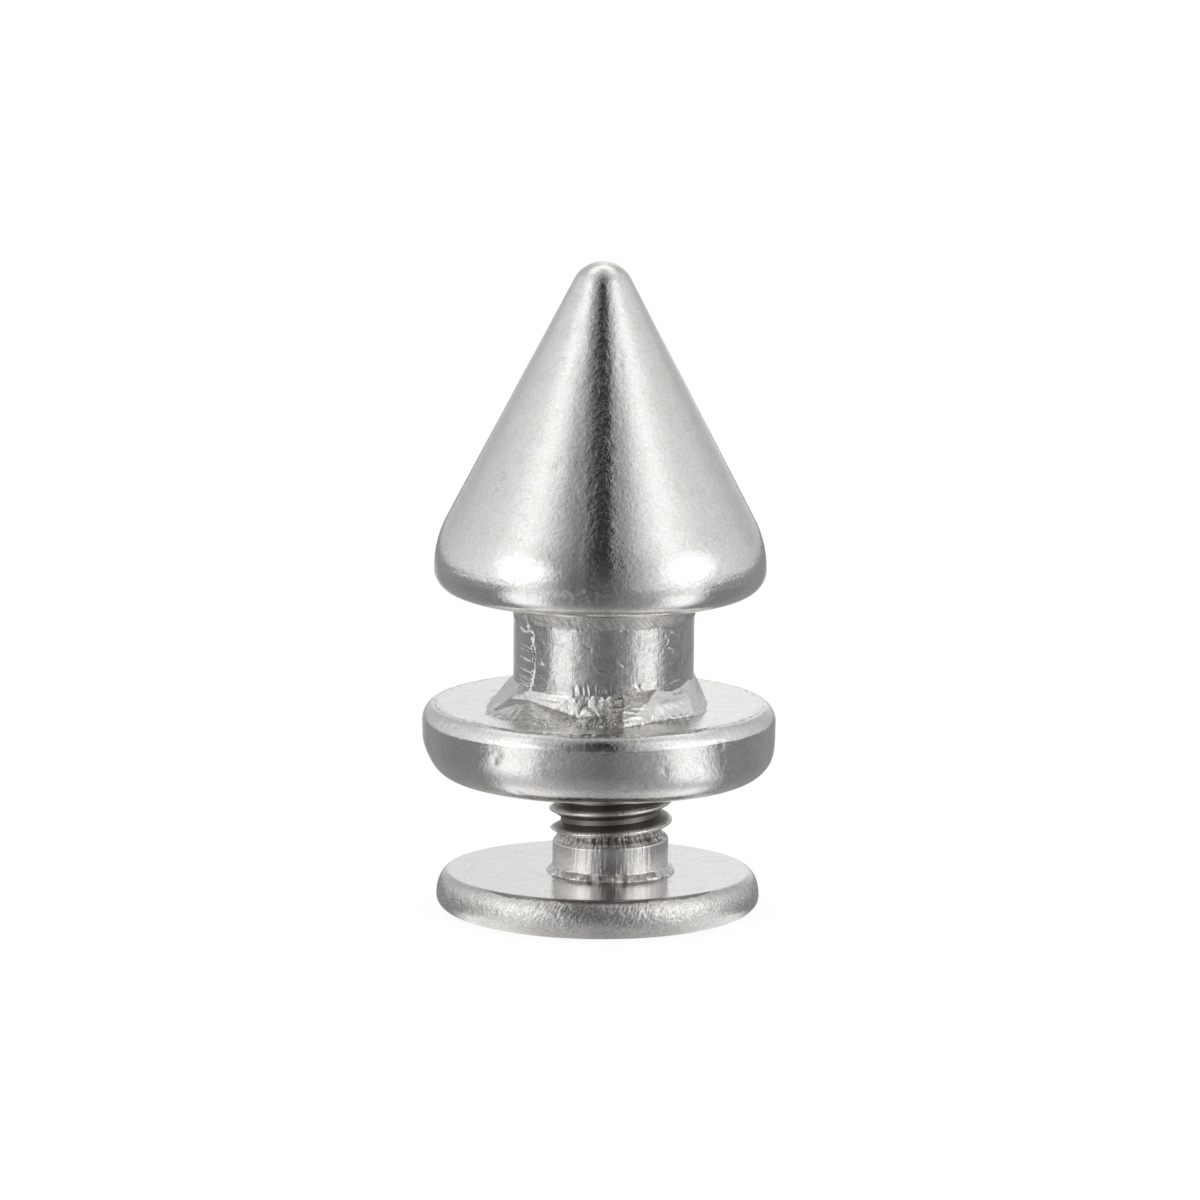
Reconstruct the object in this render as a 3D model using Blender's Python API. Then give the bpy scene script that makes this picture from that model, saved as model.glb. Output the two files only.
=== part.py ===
"""Screw back spike stud: a pointed stud for leather and cloth, and the flat screw that fastens it from behind.

The stud body is one casting: a blunt cone, a neck with a trimmed foot, and a round flange with a tapped hole.
The back screw is one headed and thread-rolled piece: a thin round head, a plain collar and a right-hand thread.
Run it with: blender --background --python part.py
Lengths are in metres and +Z is up. The origin is under the middle of the screw's head, which stands on the floor.
"""
import math

import bmesh
import bpy
from mathutils import Matrix, Vector

MM = 0.001

# Head of the back screw
HEAD_RADIUS = 3.87 * MM
HEAD_THICKNESS = 1.0 * MM
HEAD_TOP_ROUND = 0.3 * MM
HEAD_BOTTOM_ROUND = 0.42 * MM

# Screwdriver slot in the underside of the head
SLOT_LENGTH = 5.2 * MM
SLOT_WIDTH = 1.0 * MM
SLOT_DEPTH = 0.5 * MM

# Shank of the back screw, measured from the top of the head
SHANK_OFFSET = 0.3 * MM  # the shank stands this far off the middle of its head
SHANK_LENGTH = 5.0 * MM
POINT_CHAMFER = 0.35 * MM
COLLAR_RADIUS = 1.395 * MM
COLLAR_HEIGHT = 0.67 * MM
SHOULDER_HEIGHT = 0.24 * MM
BURR_WIDTH = 0.13 * MM
BURR_HEIGHT = 0.15 * MM

# Right-hand thread, M3 with a 0.5 mm pitch
THREAD_RADIUS = 1.48 * MM
THREAD_PITCH = 0.5 * MM
THREAD_ANGLE = math.radians(60)
CREST_WIDTH = 0.06 * MM
ROOT_WIDTH = 0.12 * MM
RUN_OUT_HEIGHT = 0.3 * MM
LOWEST_CREST = 0.59 * MM  # height of the lowest full crest over the collar, on the +X side

# Room for the leather between the screw's head and the stud's flange
CLAMP_GAP = 2.3 * MM

# Flange of the stud
FLANGE_RADIUS = 4.29 * MM  # out to the sharp corner, before it is rounded
FLANGE_THICKNESS = 1.8 * MM
FLANGE_TOP_ROUND = 0.32 * MM
FLANGE_BOTTOM_ROUND = 0.8 * MM
FLANGE_TAPER = 0.12 * MM  # how far the side leans in from its top to its bottom

# Neck of the stud and its trimmed foot
NECK_RADIUS = 2.175 * MM
NECK_LENGTH = 2.74 * MM
NECK_OFFSET = 0.1 * MM  # the neck stands this far off the middle of the flange
FOOT_HEIGHT = 0.7 * MM
FOOT_RADIUS = 3.55 * MM
# Each trimmed flat on the foot: degrees round from +X that it faces, and how far out its lower edge lies
FOOT_FLATS = (
    (-154, 3.05 * MM),
    (-115, 3.2 * MM),
    (-82, 3.3 * MM),
    (-49, 3.0 * MM),
    (-17, 2.7 * MM),
    (32, 2.9 * MM),
    (84, 3.1 * MM),
    (132, 3.15 * MM),
    (170, 3.0 * MM),
)

# Cone of the stud
CONE_RADIUS = 4.0 * MM
CONE_HEIGHT = 8.03 * MM
TIP_RADIUS = 0.77 * MM
SHOULDER_ROUND = 2.8 * MM
RIM_ROUND = 0.6 * MM

# Tapped hole in the stud, bored to clear the thread
THREAD_CLEARANCE = 0.05 * MM
HOLE_END_CLEARANCE = 0.35 * MM
MOUTH_CLEARANCE = 0.2 * MM
DRILL_POINT_ANGLE = math.radians(118)

# Overlap of the shapes that are joined into one solid, and reach of a cutter past the face it cuts
JOIN = 0.3 * MM
REACH = 0.4 * MM

# Fineness of the facets
TURNED_SIDES = 56
THREAD_SIDES = 40
ARC_STEP = math.radians(15)
MERGE = 0.0001 * MM
SHARP = math.radians(32)

# Sizes that follow from the ones above
COLLAR_TOP = HEAD_THICKNESS + COLLAR_HEIGHT
SHANK_TOP = HEAD_THICKNESS + SHANK_LENGTH
BURR_RADIUS = COLLAR_RADIUS + BURR_WIDTH
FLANK_RISE = (THREAD_PITCH - CREST_WIDTH - ROOT_WIDTH) / 2
THREAD_ROOT_RADIUS = THREAD_RADIUS - FLANK_RISE / math.tan(THREAD_ANGLE / 2)
HOLE_RADIUS = THREAD_RADIUS + THREAD_CLEARANCE
HOLE_DEPTH = SHANK_LENGTH + HOLE_END_CLEARANCE
MOUTH_RADIUS = max(HOLE_RADIUS, BURR_RADIUS) + MOUTH_CLEARANCE
FLANGE_BOTTOM = HEAD_THICKNESS + CLAMP_GAP
CONE_BASE = FLANGE_THICKNESS + NECK_LENGTH


def clear_scene():
    for existing in list(bpy.data.objects):
        bpy.data.objects.remove(existing)


def arc(centre, radius, start, end):
    """Points (r, z) along an arc, both ends included. Angles turn from +r towards +z."""
    steps = max(2, math.ceil(abs(end - start) / ARC_STEP))
    angles = (start + (end - start) * step / steps for step in range(steps + 1))
    return [(centre[0] + radius * math.cos(a), centre[1] + radius * math.sin(a)) for a in angles]


def rounded(corner, towards, away, radius):
    """Points of a fillet at a corner of an outline, from the side of one neighbour to the other's."""
    corner, towards, away = Vector(corner), Vector(towards), Vector(away)
    before = (towards - corner).normalized()
    after = (away - corner).normalized()
    half = before.angle(after) / 2
    centre = corner + (before + after).normalized() * radius / math.sin(half)
    first = corner + before * radius / math.tan(half) - centre
    last = corner + after * radius / math.tan(half) - centre
    start = math.atan2(first.y, first.x)
    turn = math.remainder(math.atan2(last.y, last.x) - start, math.tau)
    return arc(centre, radius, start, start + turn)


def add_object(name, form, place, parent=None):
    """Turns a finished bmesh into an object, smooth apart from its sharp edges."""
    bmesh.ops.recalc_face_normals(form, faces=form.faces)
    mesh = bpy.data.meshes.new(name)
    form.to_mesh(mesh)
    form.free()
    mesh.shade_smooth()
    mesh.set_sharp_from_angle(angle=SHARP)
    piece = bpy.data.objects.new(name, mesh)
    bpy.context.scene.collection.objects.link(piece)
    piece.parent = parent
    piece.location = place
    return piece


def turned(outline, sides=TURNED_SIDES, stagger=0):
    """A solid of revolution about Z. The outline's (r, z) points start and end on the axis.

    Shapes on one axis are staggered by a share of a facet, so that the edges of one don't lie on the other's.
    """
    form = bmesh.new()
    verts = [form.verts.new((r, 0, z)) for r, z in outline]
    edges = [form.edges.new(pair) for pair in zip(verts, verts[1:])]
    bmesh.ops.spin(
        form, geom=verts + edges, cent=(0, 0, 0), axis=(0, 0, 1), angle=math.tau, steps=sides, use_merge=True
    )
    bmesh.ops.remove_doubles(form, verts=form.verts, dist=MERGE)
    turn = Matrix.Rotation(stagger * math.tau / sides, 3, "Z")
    bmesh.ops.rotate(form, verts=form.verts, cent=(0, 0, 0), matrix=turn)
    return form


def cut_flat(form, point, normal):
    """Cuts a closed shape with a plane, keeps what lies behind it and closes the cut."""
    cut = bmesh.ops.bisect_plane(
        form,
        geom=form.verts[:] + form.edges[:] + form.faces[:],
        dist=MERGE,
        plane_co=point,
        plane_no=normal,
        clear_outer=True,
    )
    edges = [item for item in cut["geom_cut"] if isinstance(item, bmesh.types.BMEdge)]
    bmesh.ops.edgeloop_fill(form, edges=edges)


def as_cutter(piece):
    piece.hide_render = True
    piece.display_type = "WIRE"


def combine(piece, other, operation):
    """Joins another shape to a piece, cuts it out, or keeps what both share."""
    as_cutter(other)
    step = piece.modifiers.new(other.name, "BOOLEAN")
    step.operation = operation
    step.solver = "EXACT"
    step.object = other


def add_metal(piece, name, colour, roughness):
    material = bpy.data.materials.new(name)
    material.use_nodes = True
    shader = material.node_tree.nodes["Principled BSDF"]
    shader.inputs["Base Color"].default_value = (*colour, 1.0)
    shader.inputs["Metallic"].default_value = 1.0
    shader.inputs["Roughness"].default_value = roughness
    piece.data.materials.append(material)


def screw_head():
    """Thin round disc, with a small round above and a fuller one below."""
    top = (HEAD_RADIUS, HEAD_THICKNESS)
    bottom = (HEAD_RADIUS, 0)
    outline = [(0, HEAD_THICKNESS)]
    outline += rounded(top, (0, HEAD_THICKNESS), bottom, HEAD_TOP_ROUND)
    outline += rounded(bottom, top, (0, 0), HEAD_BOTTOM_ROUND)
    outline += [(0, 0)]
    return turned(outline, stagger=0.5)


def shank_collar():
    """Plain collar with a burr at its foot, and a sloping shoulder that the thread runs into."""
    pin_radius = THREAD_ROOT_RADIUS - JOIN
    shoulder_radius = THREAD_ROOT_RADIUS - THREAD_CLEARANCE
    outline = [
        (0, COLLAR_TOP + SHOULDER_HEIGHT + JOIN),
        (pin_radius, COLLAR_TOP + SHOULDER_HEIGHT + JOIN),
        (pin_radius, COLLAR_TOP + SHOULDER_HEIGHT),
        (shoulder_radius, COLLAR_TOP + SHOULDER_HEIGHT),
        (COLLAR_RADIUS, COLLAR_TOP),
        (COLLAR_RADIUS, HEAD_THICKNESS + BURR_HEIGHT),
        (BURR_RADIUS, HEAD_THICKNESS),
        (BURR_RADIUS, HEAD_THICKNESS - JOIN),
        (0, HEAD_THICKNESS - JOIN),
    ]
    return turned(outline, THREAD_SIDES, 0.25)


def thread_rod():
    """Threaded rod with flat ends: the outline of one pitch is spun while it climbs, and its turns are merged."""
    low = COLLAR_TOP - REACH
    high = SHANK_TOP + REACH
    turns = math.ceil((high - low) / THREAD_PITCH) + 2
    crest = COLLAR_TOP + LOWEST_CREST
    start = crest - FLANK_RISE - CREST_WIDTH / 2
    start -= THREAD_PITCH * math.ceil((start - low) / THREAD_PITCH + 1)
    outline = [
        (THREAD_ROOT_RADIUS, start),
        (THREAD_RADIUS, start + FLANK_RISE),
        (THREAD_RADIUS, start + FLANK_RISE + CREST_WIDTH),
        (THREAD_ROOT_RADIUS, start + FLANK_RISE + CREST_WIDTH + FLANK_RISE),
        (THREAD_ROOT_RADIUS, start + THREAD_PITCH),
    ]
    form = bmesh.new()
    verts = [form.verts.new((r, 0, z)) for r, z in outline]
    edges = [form.edges.new(pair) for pair in zip(verts, verts[1:])]
    bmesh.ops.spin(
        form,
        geom=verts + edges,
        cent=(0, 0, 0),
        axis=(0, 0, 1),
        dvec=(0, 0, THREAD_PITCH / THREAD_SIDES),
        angle=math.tau * turns,
        steps=THREAD_SIDES * turns,
    )
    bmesh.ops.remove_doubles(form, verts=form.verts, dist=MERGE)
    cut_flat(form, (0, 0, low), (0, 0, -1))
    cut_flat(form, (0, 0, high), (0, 0, 1))
    return form


def thread_envelope():
    """What the rod is trimmed to: it fades out at the collar and has a chamfered end."""
    fade_radius = COLLAR_RADIUS - THREAD_CLEARANCE
    slope = (THREAD_RADIUS - fade_radius) / RUN_OUT_HEIGHT
    wide_radius = THREAD_RADIUS + REACH
    outline = [
        (0, SHANK_TOP),
        (THREAD_RADIUS - POINT_CHAMFER, SHANK_TOP),
        (wide_radius, SHANK_TOP - POINT_CHAMFER - REACH),
        (wide_radius, COLLAR_TOP + RUN_OUT_HEIGHT + REACH / slope),
        (fade_radius, COLLAR_TOP),
        (fade_radius, COLLAR_TOP - JOIN),
        (0, COLLAR_TOP - JOIN),
    ]
    return turned(outline, THREAD_SIDES, 0.5)


def driver_slot():
    """Slot with round ends, pressed into the underside of the head."""
    form = bmesh.new()
    end = (SLOT_LENGTH - SLOT_WIDTH) / 2
    rim = arc((end, 0), SLOT_WIDTH / 2, -math.pi / 2, math.pi / 2)
    rim += arc((-end, 0), SLOT_WIDTH / 2, math.pi / 2, math.pi * 3 / 2)
    face = form.faces.new([form.verts.new((x, y, -REACH)) for x, y in rim])
    wall = bmesh.ops.extrude_face_region(form, geom=[face])
    raised = [item for item in wall["geom"] if isinstance(item, bmesh.types.BMVert)]
    bmesh.ops.translate(form, verts=raised, vec=(0, 0, REACH + SLOT_DEPTH))
    return form


def flange():
    """Round flange under the neck: a small round above, a side that leans in, and a full round below."""
    top = (FLANGE_RADIUS, FLANGE_THICKNESS)
    bottom = (FLANGE_RADIUS - FLANGE_TAPER, 0)
    outline = [(0, FLANGE_THICKNESS)]
    outline += rounded(top, (0, FLANGE_THICKNESS), bottom, FLANGE_TOP_ROUND)
    outline += rounded(bottom, top, (0, 0), FLANGE_BOTTOM_ROUND)
    outline += [(0, 0)]
    return turned(outline)


def neck():
    """Round neck, from inside the flange to inside the cone."""
    outline = [
        (0, NECK_LENGTH + JOIN),
        (NECK_RADIUS, NECK_LENGTH + JOIN),
        (NECK_RADIUS, -JOIN),
        (0, -JOIN),
    ]
    return turned(outline, stagger=0.5)


def neck_foot():
    """Flared foot of the neck, trimmed all round to uneven flats that run out on the neck at the foot's height."""
    widest_lean = (FOOT_RADIUS - NECK_RADIUS) / FOOT_HEIGHT
    outline = [
        (0, FOOT_HEIGHT + JOIN),
        (NECK_RADIUS - widest_lean * JOIN, FOOT_HEIGHT + JOIN),
        (FOOT_RADIUS + widest_lean * JOIN, -JOIN),
        (0, -JOIN),
    ]
    form = turned(outline, stagger=0.25)
    for degrees, distance in FOOT_FLATS:
        facing = Matrix.Rotation(math.radians(degrees), 3, "Z")
        lean = (distance - NECK_RADIUS) / FOOT_HEIGHT
        cut_flat(form, facing @ Vector((distance, 0, 0)), facing @ Vector((1, 0, lean)))
    return form


def spike():
    """Blunt cone: a ball tip, a straight side, a wide shoulder arc and a tight rim, above a flat underside."""
    tip = Vector((0, CONE_HEIGHT - TIP_RADIUS))
    shoulder = Vector((CONE_RADIUS - SHOULDER_ROUND, RIM_ROUND))
    between = tip - shoulder
    side = math.atan2(between.y, between.x) - math.acos((SHOULDER_ROUND - TIP_RADIUS) / between.length)
    outline = arc(tip, TIP_RADIUS, math.pi / 2, side)
    outline += arc(shoulder, SHOULDER_ROUND, side, 0)
    outline += arc((CONE_RADIUS - RIM_ROUND, RIM_ROUND), RIM_ROUND, 0, -math.pi / 2)
    outline += [(0, 0)]
    return turned(outline)


def tapped_hole():
    """Drilled hole with a countersunk mouth and a pointed end, as wide as the thread with its clearance."""
    point = HOLE_RADIUS / math.tan(DRILL_POINT_ANGLE / 2)
    outline = [
        (0, HOLE_DEPTH + point),
        (HOLE_RADIUS, HOLE_DEPTH),
        (HOLE_RADIUS, MOUTH_RADIUS - HOLE_RADIUS),
        (MOUTH_RADIUS + REACH, -REACH),
        (0, -REACH),
    ]
    return turned(outline, THREAD_SIDES, 0.25)


def build_back_screw():
    screw = add_object("back_screw", screw_head(), (0, 0, 0))
    add_metal(screw, "nickel_plated_steel", (0.80, 0.79, 0.77), 0.22)
    axis = (SHANK_OFFSET, 0, 0)
    collar = add_object("shank_collar", shank_collar(), axis)
    rod = add_object("thread_rod", thread_rod(), axis)
    envelope = add_object("thread_envelope", thread_envelope(), axis)
    slot = add_object("driver_slot", driver_slot(), (0, 0, 0))
    combine(rod, envelope, "INTERSECT")
    combine(screw, collar, "UNION")
    combine(screw, rod, "UNION")
    combine(screw, slot, "DIFFERENCE")


def build_stud_body():
    """The stud hangs on an empty on the thread's axis, along which it travels."""
    travel = bpy.data.objects.new("thread_axis", None)
    bpy.context.scene.collection.objects.link(travel)
    travel.location = (SHANK_OFFSET, 0, FLANGE_BOTTOM)
    stud = add_object("stud_body", spike(), (-SHANK_OFFSET, 0, CONE_BASE), travel)
    add_metal(stud, "nickel_plated_zinc", (0.78, 0.77, 0.75), 0.25)
    middle = add_object("neck", neck(), (NECK_OFFSET - SHANK_OFFSET, 0, FLANGE_THICKNESS), travel)
    foot = add_object("neck_foot", neck_foot(), middle.location, travel)
    disc = add_object("flange", flange(), (-SHANK_OFFSET, 0, 0), travel)
    hole = add_object("tapped_hole", tapped_hole(), (0, 0, 0), travel)
    combine(stud, middle, "UNION")
    combine(stud, foot, "UNION")
    combine(stud, disc, "UNION")
    combine(stud, hole, "DIFFERENCE")


clear_scene()
build_back_screw()
build_stud_body()
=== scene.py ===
"""Screw back spike stud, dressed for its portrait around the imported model.

Sizes are in metres and +Z is up. The stud stands on the head of its back screw, at the origin.
"""

import math
import random

import bmesh
import bpy
from mathutils import Matrix, Vector, bvhtree, kdtree, noise


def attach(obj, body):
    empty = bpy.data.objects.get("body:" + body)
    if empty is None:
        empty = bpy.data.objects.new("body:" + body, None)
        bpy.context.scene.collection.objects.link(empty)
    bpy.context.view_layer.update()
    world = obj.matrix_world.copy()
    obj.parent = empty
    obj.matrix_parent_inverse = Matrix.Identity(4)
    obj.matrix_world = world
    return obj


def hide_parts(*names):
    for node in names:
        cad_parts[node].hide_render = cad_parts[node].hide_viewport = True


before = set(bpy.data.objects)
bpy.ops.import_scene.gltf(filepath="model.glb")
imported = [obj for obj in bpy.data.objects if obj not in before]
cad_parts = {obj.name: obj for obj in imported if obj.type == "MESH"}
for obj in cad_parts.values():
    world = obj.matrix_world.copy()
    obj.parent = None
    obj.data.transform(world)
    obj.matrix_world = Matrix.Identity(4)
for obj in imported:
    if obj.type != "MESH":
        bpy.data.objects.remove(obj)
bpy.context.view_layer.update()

# Camera
# A long lens half a metre away looks slightly down on the stud, so that its edges show as thin ellipses.
# The stud leans a hair to the right in the picture, which the camera's roll gives.

MM = 0.001
CAMERA_DISTANCE = 500 * MM
CAMERA_ELEVATION = math.radians(11)
CAMERA_ROLL = math.radians(0.5)
PICTURE_WIDTH = 28.81 * MM  # what the square picture takes in at the stud
PICTURE_CENTRE = Vector((0, 0, 7.607 * MM))
SENSOR_WIDTH = 36

away = Vector((0, -math.cos(CAMERA_ELEVATION), math.sin(CAMERA_ELEVATION)))
lens_data = bpy.data.cameras.new("portrait_lens")
lens_data.sensor_width = SENSOR_WIDTH
lens_data.lens = SENSOR_WIDTH * CAMERA_DISTANCE / PICTURE_WIDTH
lens_data.clip_start = 0.01
lens_data.clip_end = 10
camera = bpy.data.objects.new("portrait_camera", lens_data)
bpy.context.scene.collection.objects.link(camera)
camera.location = PICTURE_CENTRE + away * CAMERA_DISTANCE
facing = (-away).to_track_quat("-Z", "Y")
camera.rotation_mode = "QUATERNION"
camera.rotation_quaternion = facing @ Matrix.Rotation(CAMERA_ROLL, 3, "Z").to_quaternion()
bpy.context.scene.camera = camera
bpy.context.scene.view_settings.view_transform = "Standard"


# Light tent, floor and backdrop
# White fabric stands all round the stud, with two lamps glowing through it and a dark slit for the lens.
# The metal mirrors it, and the picture itself shows only the white floor and the white background.

HALF_TURN = 180  # degrees, from the slit in front to straight behind
TENT_RADIUS = 120 * MM
TENT_CENTRE = Vector((0, 0, 8 * MM))
TENT_SIDES = 96
TENT_STRENGTH = 1.5
TENT_TURN = math.radians(2.5)  # the slit stands a little right of the lens, and the bright walls left of it
WALL_TURN = math.radians(-3.0)
# Glow of the fabric, as a share of the strength, by the angle round from the slit
WALL_GLOW = (
    (0, 0.09), (14, 0.11), (20, 0.17), (28, 0.28), (34, 0.38), (41, 0.53), (49, 0.67), (59, 0.78), (68, 0.75),
    (79, 0.63), (90, 0.55), (120, 0.46), (140, 0.37), (152, 0.36), (162, 0.40), (172, 0.56), (180, 0.63),
)
# Glow of the roof by the same angle, and straight overhead
ROOF_GLOW = ((0, 0.16), (25, 0.20), (45, 0.36), (65, 0.46), (90, 0.58), (130, 0.76), (175, 0.84))
ROOF_START = (0.68, 0.86)
ZENITH_START = (0.93, 1.0)
ZENITH_GLOW = 0.34
LAMP_ANGLE = 60  # the two lamps stand behind the fabric, low down to the left and right
LAMP_TURN = math.radians(7.0)
LAMP_WIDTH = 28
LAMP_RISE = 0.21
LAMP_SPREAD = 0.26
LAMP_GLOW = 0.38
SLIT_HALF_WIDTH = 11.0
SLIT_EDGE = 1.5
SLIT_TOP = 0.95
SLIT_TOP_EDGE = 0.02
# Glow in the slit, by the share of the way up from the floor to overhead
SLIT_GLOW = ((0.0, 0.060), (0.3, 0.038), (0.6, 0.020), (0.72, 0.015), (0.80, 0.06), (0.92, 0.13))
FLOOR_RADIUS = 600 * MM
FLOOR_SIDES = 96
BOARD_CENTRE = Vector((-6 * MM, 0, 0))
BOARD_TURN = math.radians(2.5)
FAR_TURN = math.radians(7.0)
PLINTH_TURN = math.radians(4.0)
# How far from the middle each patch of the floor gives way to the next, softly
CONTACT_EDGE = (4.92 * MM, 6.90 * MM)
PLINTH_EDGE = (6.96 * MM, 11.31 * MM)
BOARD_EDGE = (48 * MM, 52 * MM)
# Glow of the grey board under the stud, as the metal mirrors it, by the angle round from the slit
BOARD_GLOW = (
    (0, 0.10), (12, 0.14), (22, 0.19), (35, 0.28), (44, 0.70), (60, 0.80), (68, 0.52), (76, 0.16),
    (105, 0.16), (125, 0.20), (150, 0.20), (175, 0.50),
)
# Glow of the plinth on it, and of the strip right beside the head, which lies in its shade at the sides
PLINTH_GLOW = (
    (0, 0.16), (25, 0.24), (45, 0.42), (60, 0.44), (74, 0.20), (80, 0.17), (144, 0.20), (175, 0.30),
)
CONTACT_GLOW = (
    (0, 0.24), (25, 0.38), (40, 0.60), (62, 0.68), (74, 0.28), (80, 0.20), (144, 0.26), (175, 0.24),
)
# Glow of the floor beyond the board, which the cone mirrors at its edges
FAR_GLOW = ((0, 0.10), (20, 0.17), (40, 0.46), (58, 0.66), (68, 0.50), (76, 0.20), (120, 0.20), (180, 0.20))
PAPER_SHADE = 0.10
PAPER_WHITE = 1.02  # what the lit paper comes to
WHITE = (1.0, 1.0, 1.0, 1.0)


def feed(tree, socket, given):
    """Sets a node's input to a value, or links it to another node's socket."""
    if isinstance(given, bpy.types.NodeSocket):
        tree.links.new(given, socket)
    else:
        socket.default_value = given


def add_node(tree, kind, **inputs):
    """A new node, with its inputs fed by their names, or by their numbers after an underscore."""
    made = tree.nodes.new(kind)
    for name, given in inputs.items():
        feed(tree, made.inputs[int(name[1:]) if name[0] == "_" else name], given)
    return made


def worked_out(tree, kind, operation, values):
    """A node that does one operation on what it is given in order."""
    made = tree.nodes.new(kind)
    made.operation = operation
    for socket, given in zip(made.inputs, values):
        feed(tree, socket, given)
    return made


def maths(tree, operation, *values):
    """One Math node, given its numbers or sockets in order."""
    return worked_out(tree, "ShaderNodeMath", operation, values).outputs[0]


def vector_maths(tree, operation, *values):
    """One Vector Math node, given its vectors or sockets in order. It gives a number where it measures."""
    made = worked_out(tree, "ShaderNodeVectorMath", operation, values)
    return made.outputs["Value" if operation in ("LENGTH", "DISTANCE") else "Vector"]


def ramp(tree, factor, stops):
    """Grey levels or colours along a factor from 0 to 1."""
    made = add_node(tree, "ShaderNodeValToRGB", Fac=factor)
    colours = made.color_ramp
    while len(colours.elements) < len(stops):
        colours.elements.new(1.0)
    for element, (place, level) in zip(colours.elements, stops):
        element.position = place
        element.color = (*level, 1.0) if isinstance(level, tuple) else (level, level, level, 1.0)
    return made.outputs["Color"]


def smooth_step(tree, value, low, high):
    """0 at low, 1 at high and a smooth climb between."""
    made = add_node(tree, "ShaderNodeMapRange", Value=value, **{"From Min": low, "From Max": high})
    made.interpolation_type = "SMOOTHSTEP"
    return made.outputs["Result"]


def mixed(tree, factor, first, second):
    """The first colour where the factor is 0 and the second where it is 1. A number stands for a grey."""
    made = tree.nodes.new("ShaderNodeMix")
    made.data_type = "RGBA"
    feed(tree, made.inputs[0], factor)
    for socket, given in ((made.inputs[6], first), (made.inputs[7], second)):
        feed(tree, socket, (given, given, given, 1.0) if isinstance(given, float) else given)
    return made.outputs[2]


def new_material(name):
    """A material, its node tree, the socket for its surface and the place on the object that it goes by."""
    material = bpy.data.materials.new(name)
    material.use_nodes = True
    tree = material.node_tree
    tree.nodes.clear()
    surface = tree.nodes.new("ShaderNodeOutputMaterial").inputs["Surface"]
    return material, tree, surface, tree.nodes.new("ShaderNodeTexCoord").outputs["Object"]


def angle_round(tree, place):
    """The angle round the axis, from 0 in front and growing to the right."""
    return maths(tree, "ARCTAN2", place.outputs["X"], maths(tree, "MULTIPLY", place.outputs["Y"], -1.0))


def angle_from_slit(tree, place, turn):
    """The angle round from the slit in the tent, from 0 at the slit to 1 straight behind the stud."""
    turned_back = maths(tree, "ABSOLUTE", maths(tree, "SUBTRACT", angle_round(tree, place), turn))
    return maths(tree, "DIVIDE", turned_back, math.pi)


def round_glow(tree, share, glow):
    """Brightness by the angle round from the slit, the same to its left and right."""
    return ramp(tree, share, [(degrees / HALF_TURN, level) for degrees, level in glow])


def placed(name, form, material):
    """The object at the origin that a finished form becomes."""
    mesh = bpy.data.meshes.new(name)
    form.to_mesh(mesh)
    form.free()
    mesh.materials.append(material)
    made = bpy.data.objects.new(name, mesh)
    bpy.context.scene.collection.objects.link(made)
    return made


tent_fabric, tree, surface, coordinates = new_material("tent_fabric")
unit = vector_maths(tree, "NORMALIZE", vector_maths(tree, "SUBTRACT", coordinates, TENT_CENTRE))
direction = add_node(tree, "ShaderNodeSeparateXYZ", Vector=unit)
climb = direction.outputs["Z"]
share = angle_from_slit(tree, direction, TENT_TURN)
wall_share = angle_from_slit(tree, direction, WALL_TURN)
off_lamp = maths(tree, "SUBTRACT", angle_from_slit(tree, direction, LAMP_TURN), LAMP_ANGLE / HALF_TURN)
aside = maths(tree, "DIVIDE", off_lamp, LAMP_WIDTH / HALF_TURN)
above = maths(tree, "DIVIDE", maths(tree, "SUBTRACT", climb, LAMP_RISE), LAMP_SPREAD)
from_lamp = maths(tree, "ADD", maths(tree, "MULTIPLY", aside, aside), maths(tree, "MULTIPLY", above, above))
lamp = maths(tree, "MULTIPLY", smooth_step(tree, from_lamp, 1.0, 0.0), LAMP_GLOW)
wall = maths(tree, "ADD", round_glow(tree, wall_share, WALL_GLOW), lamp)
zenith_mask = smooth_step(tree, climb, *ZENITH_START)
roof = mixed(tree, zenith_mask, round_glow(tree, share, ROOF_GLOW), ZENITH_GLOW)
fabric = mixed(tree, smooth_step(tree, climb, *ROOF_START), wall, roof)
slit_sides = (SLIT_HALF_WIDTH + SLIT_EDGE) / HALF_TURN, (SLIT_HALF_WIDTH - SLIT_EDGE) / HALF_TURN
between_sides = smooth_step(tree, share, *slit_sides)
below_top = smooth_step(tree, climb, SLIT_TOP + SLIT_TOP_EDGE, SLIT_TOP - SLIT_TOP_EDGE)
slit = maths(tree, "MULTIPLY", between_sides, below_top)
glowing = mixed(tree, slit, fabric, ramp(tree, climb, SLIT_GLOW))
feed(tree, surface, add_node(tree, "ShaderNodeEmission", Color=glowing, Strength=TENT_STRENGTH).outputs[0])

form = bmesh.new()
bmesh.ops.create_uvsphere(form, u_segments=TENT_SIDES, v_segments=TENT_SIDES // 2, radius=TENT_RADIUS)
bmesh.ops.translate(form, verts=form.verts, vec=TENT_CENTRE)
tent = placed("light_tent", form, tent_fabric)
tent.visible_camera = False
tent.visible_diffuse = False
tent.visible_shadow = False

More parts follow.
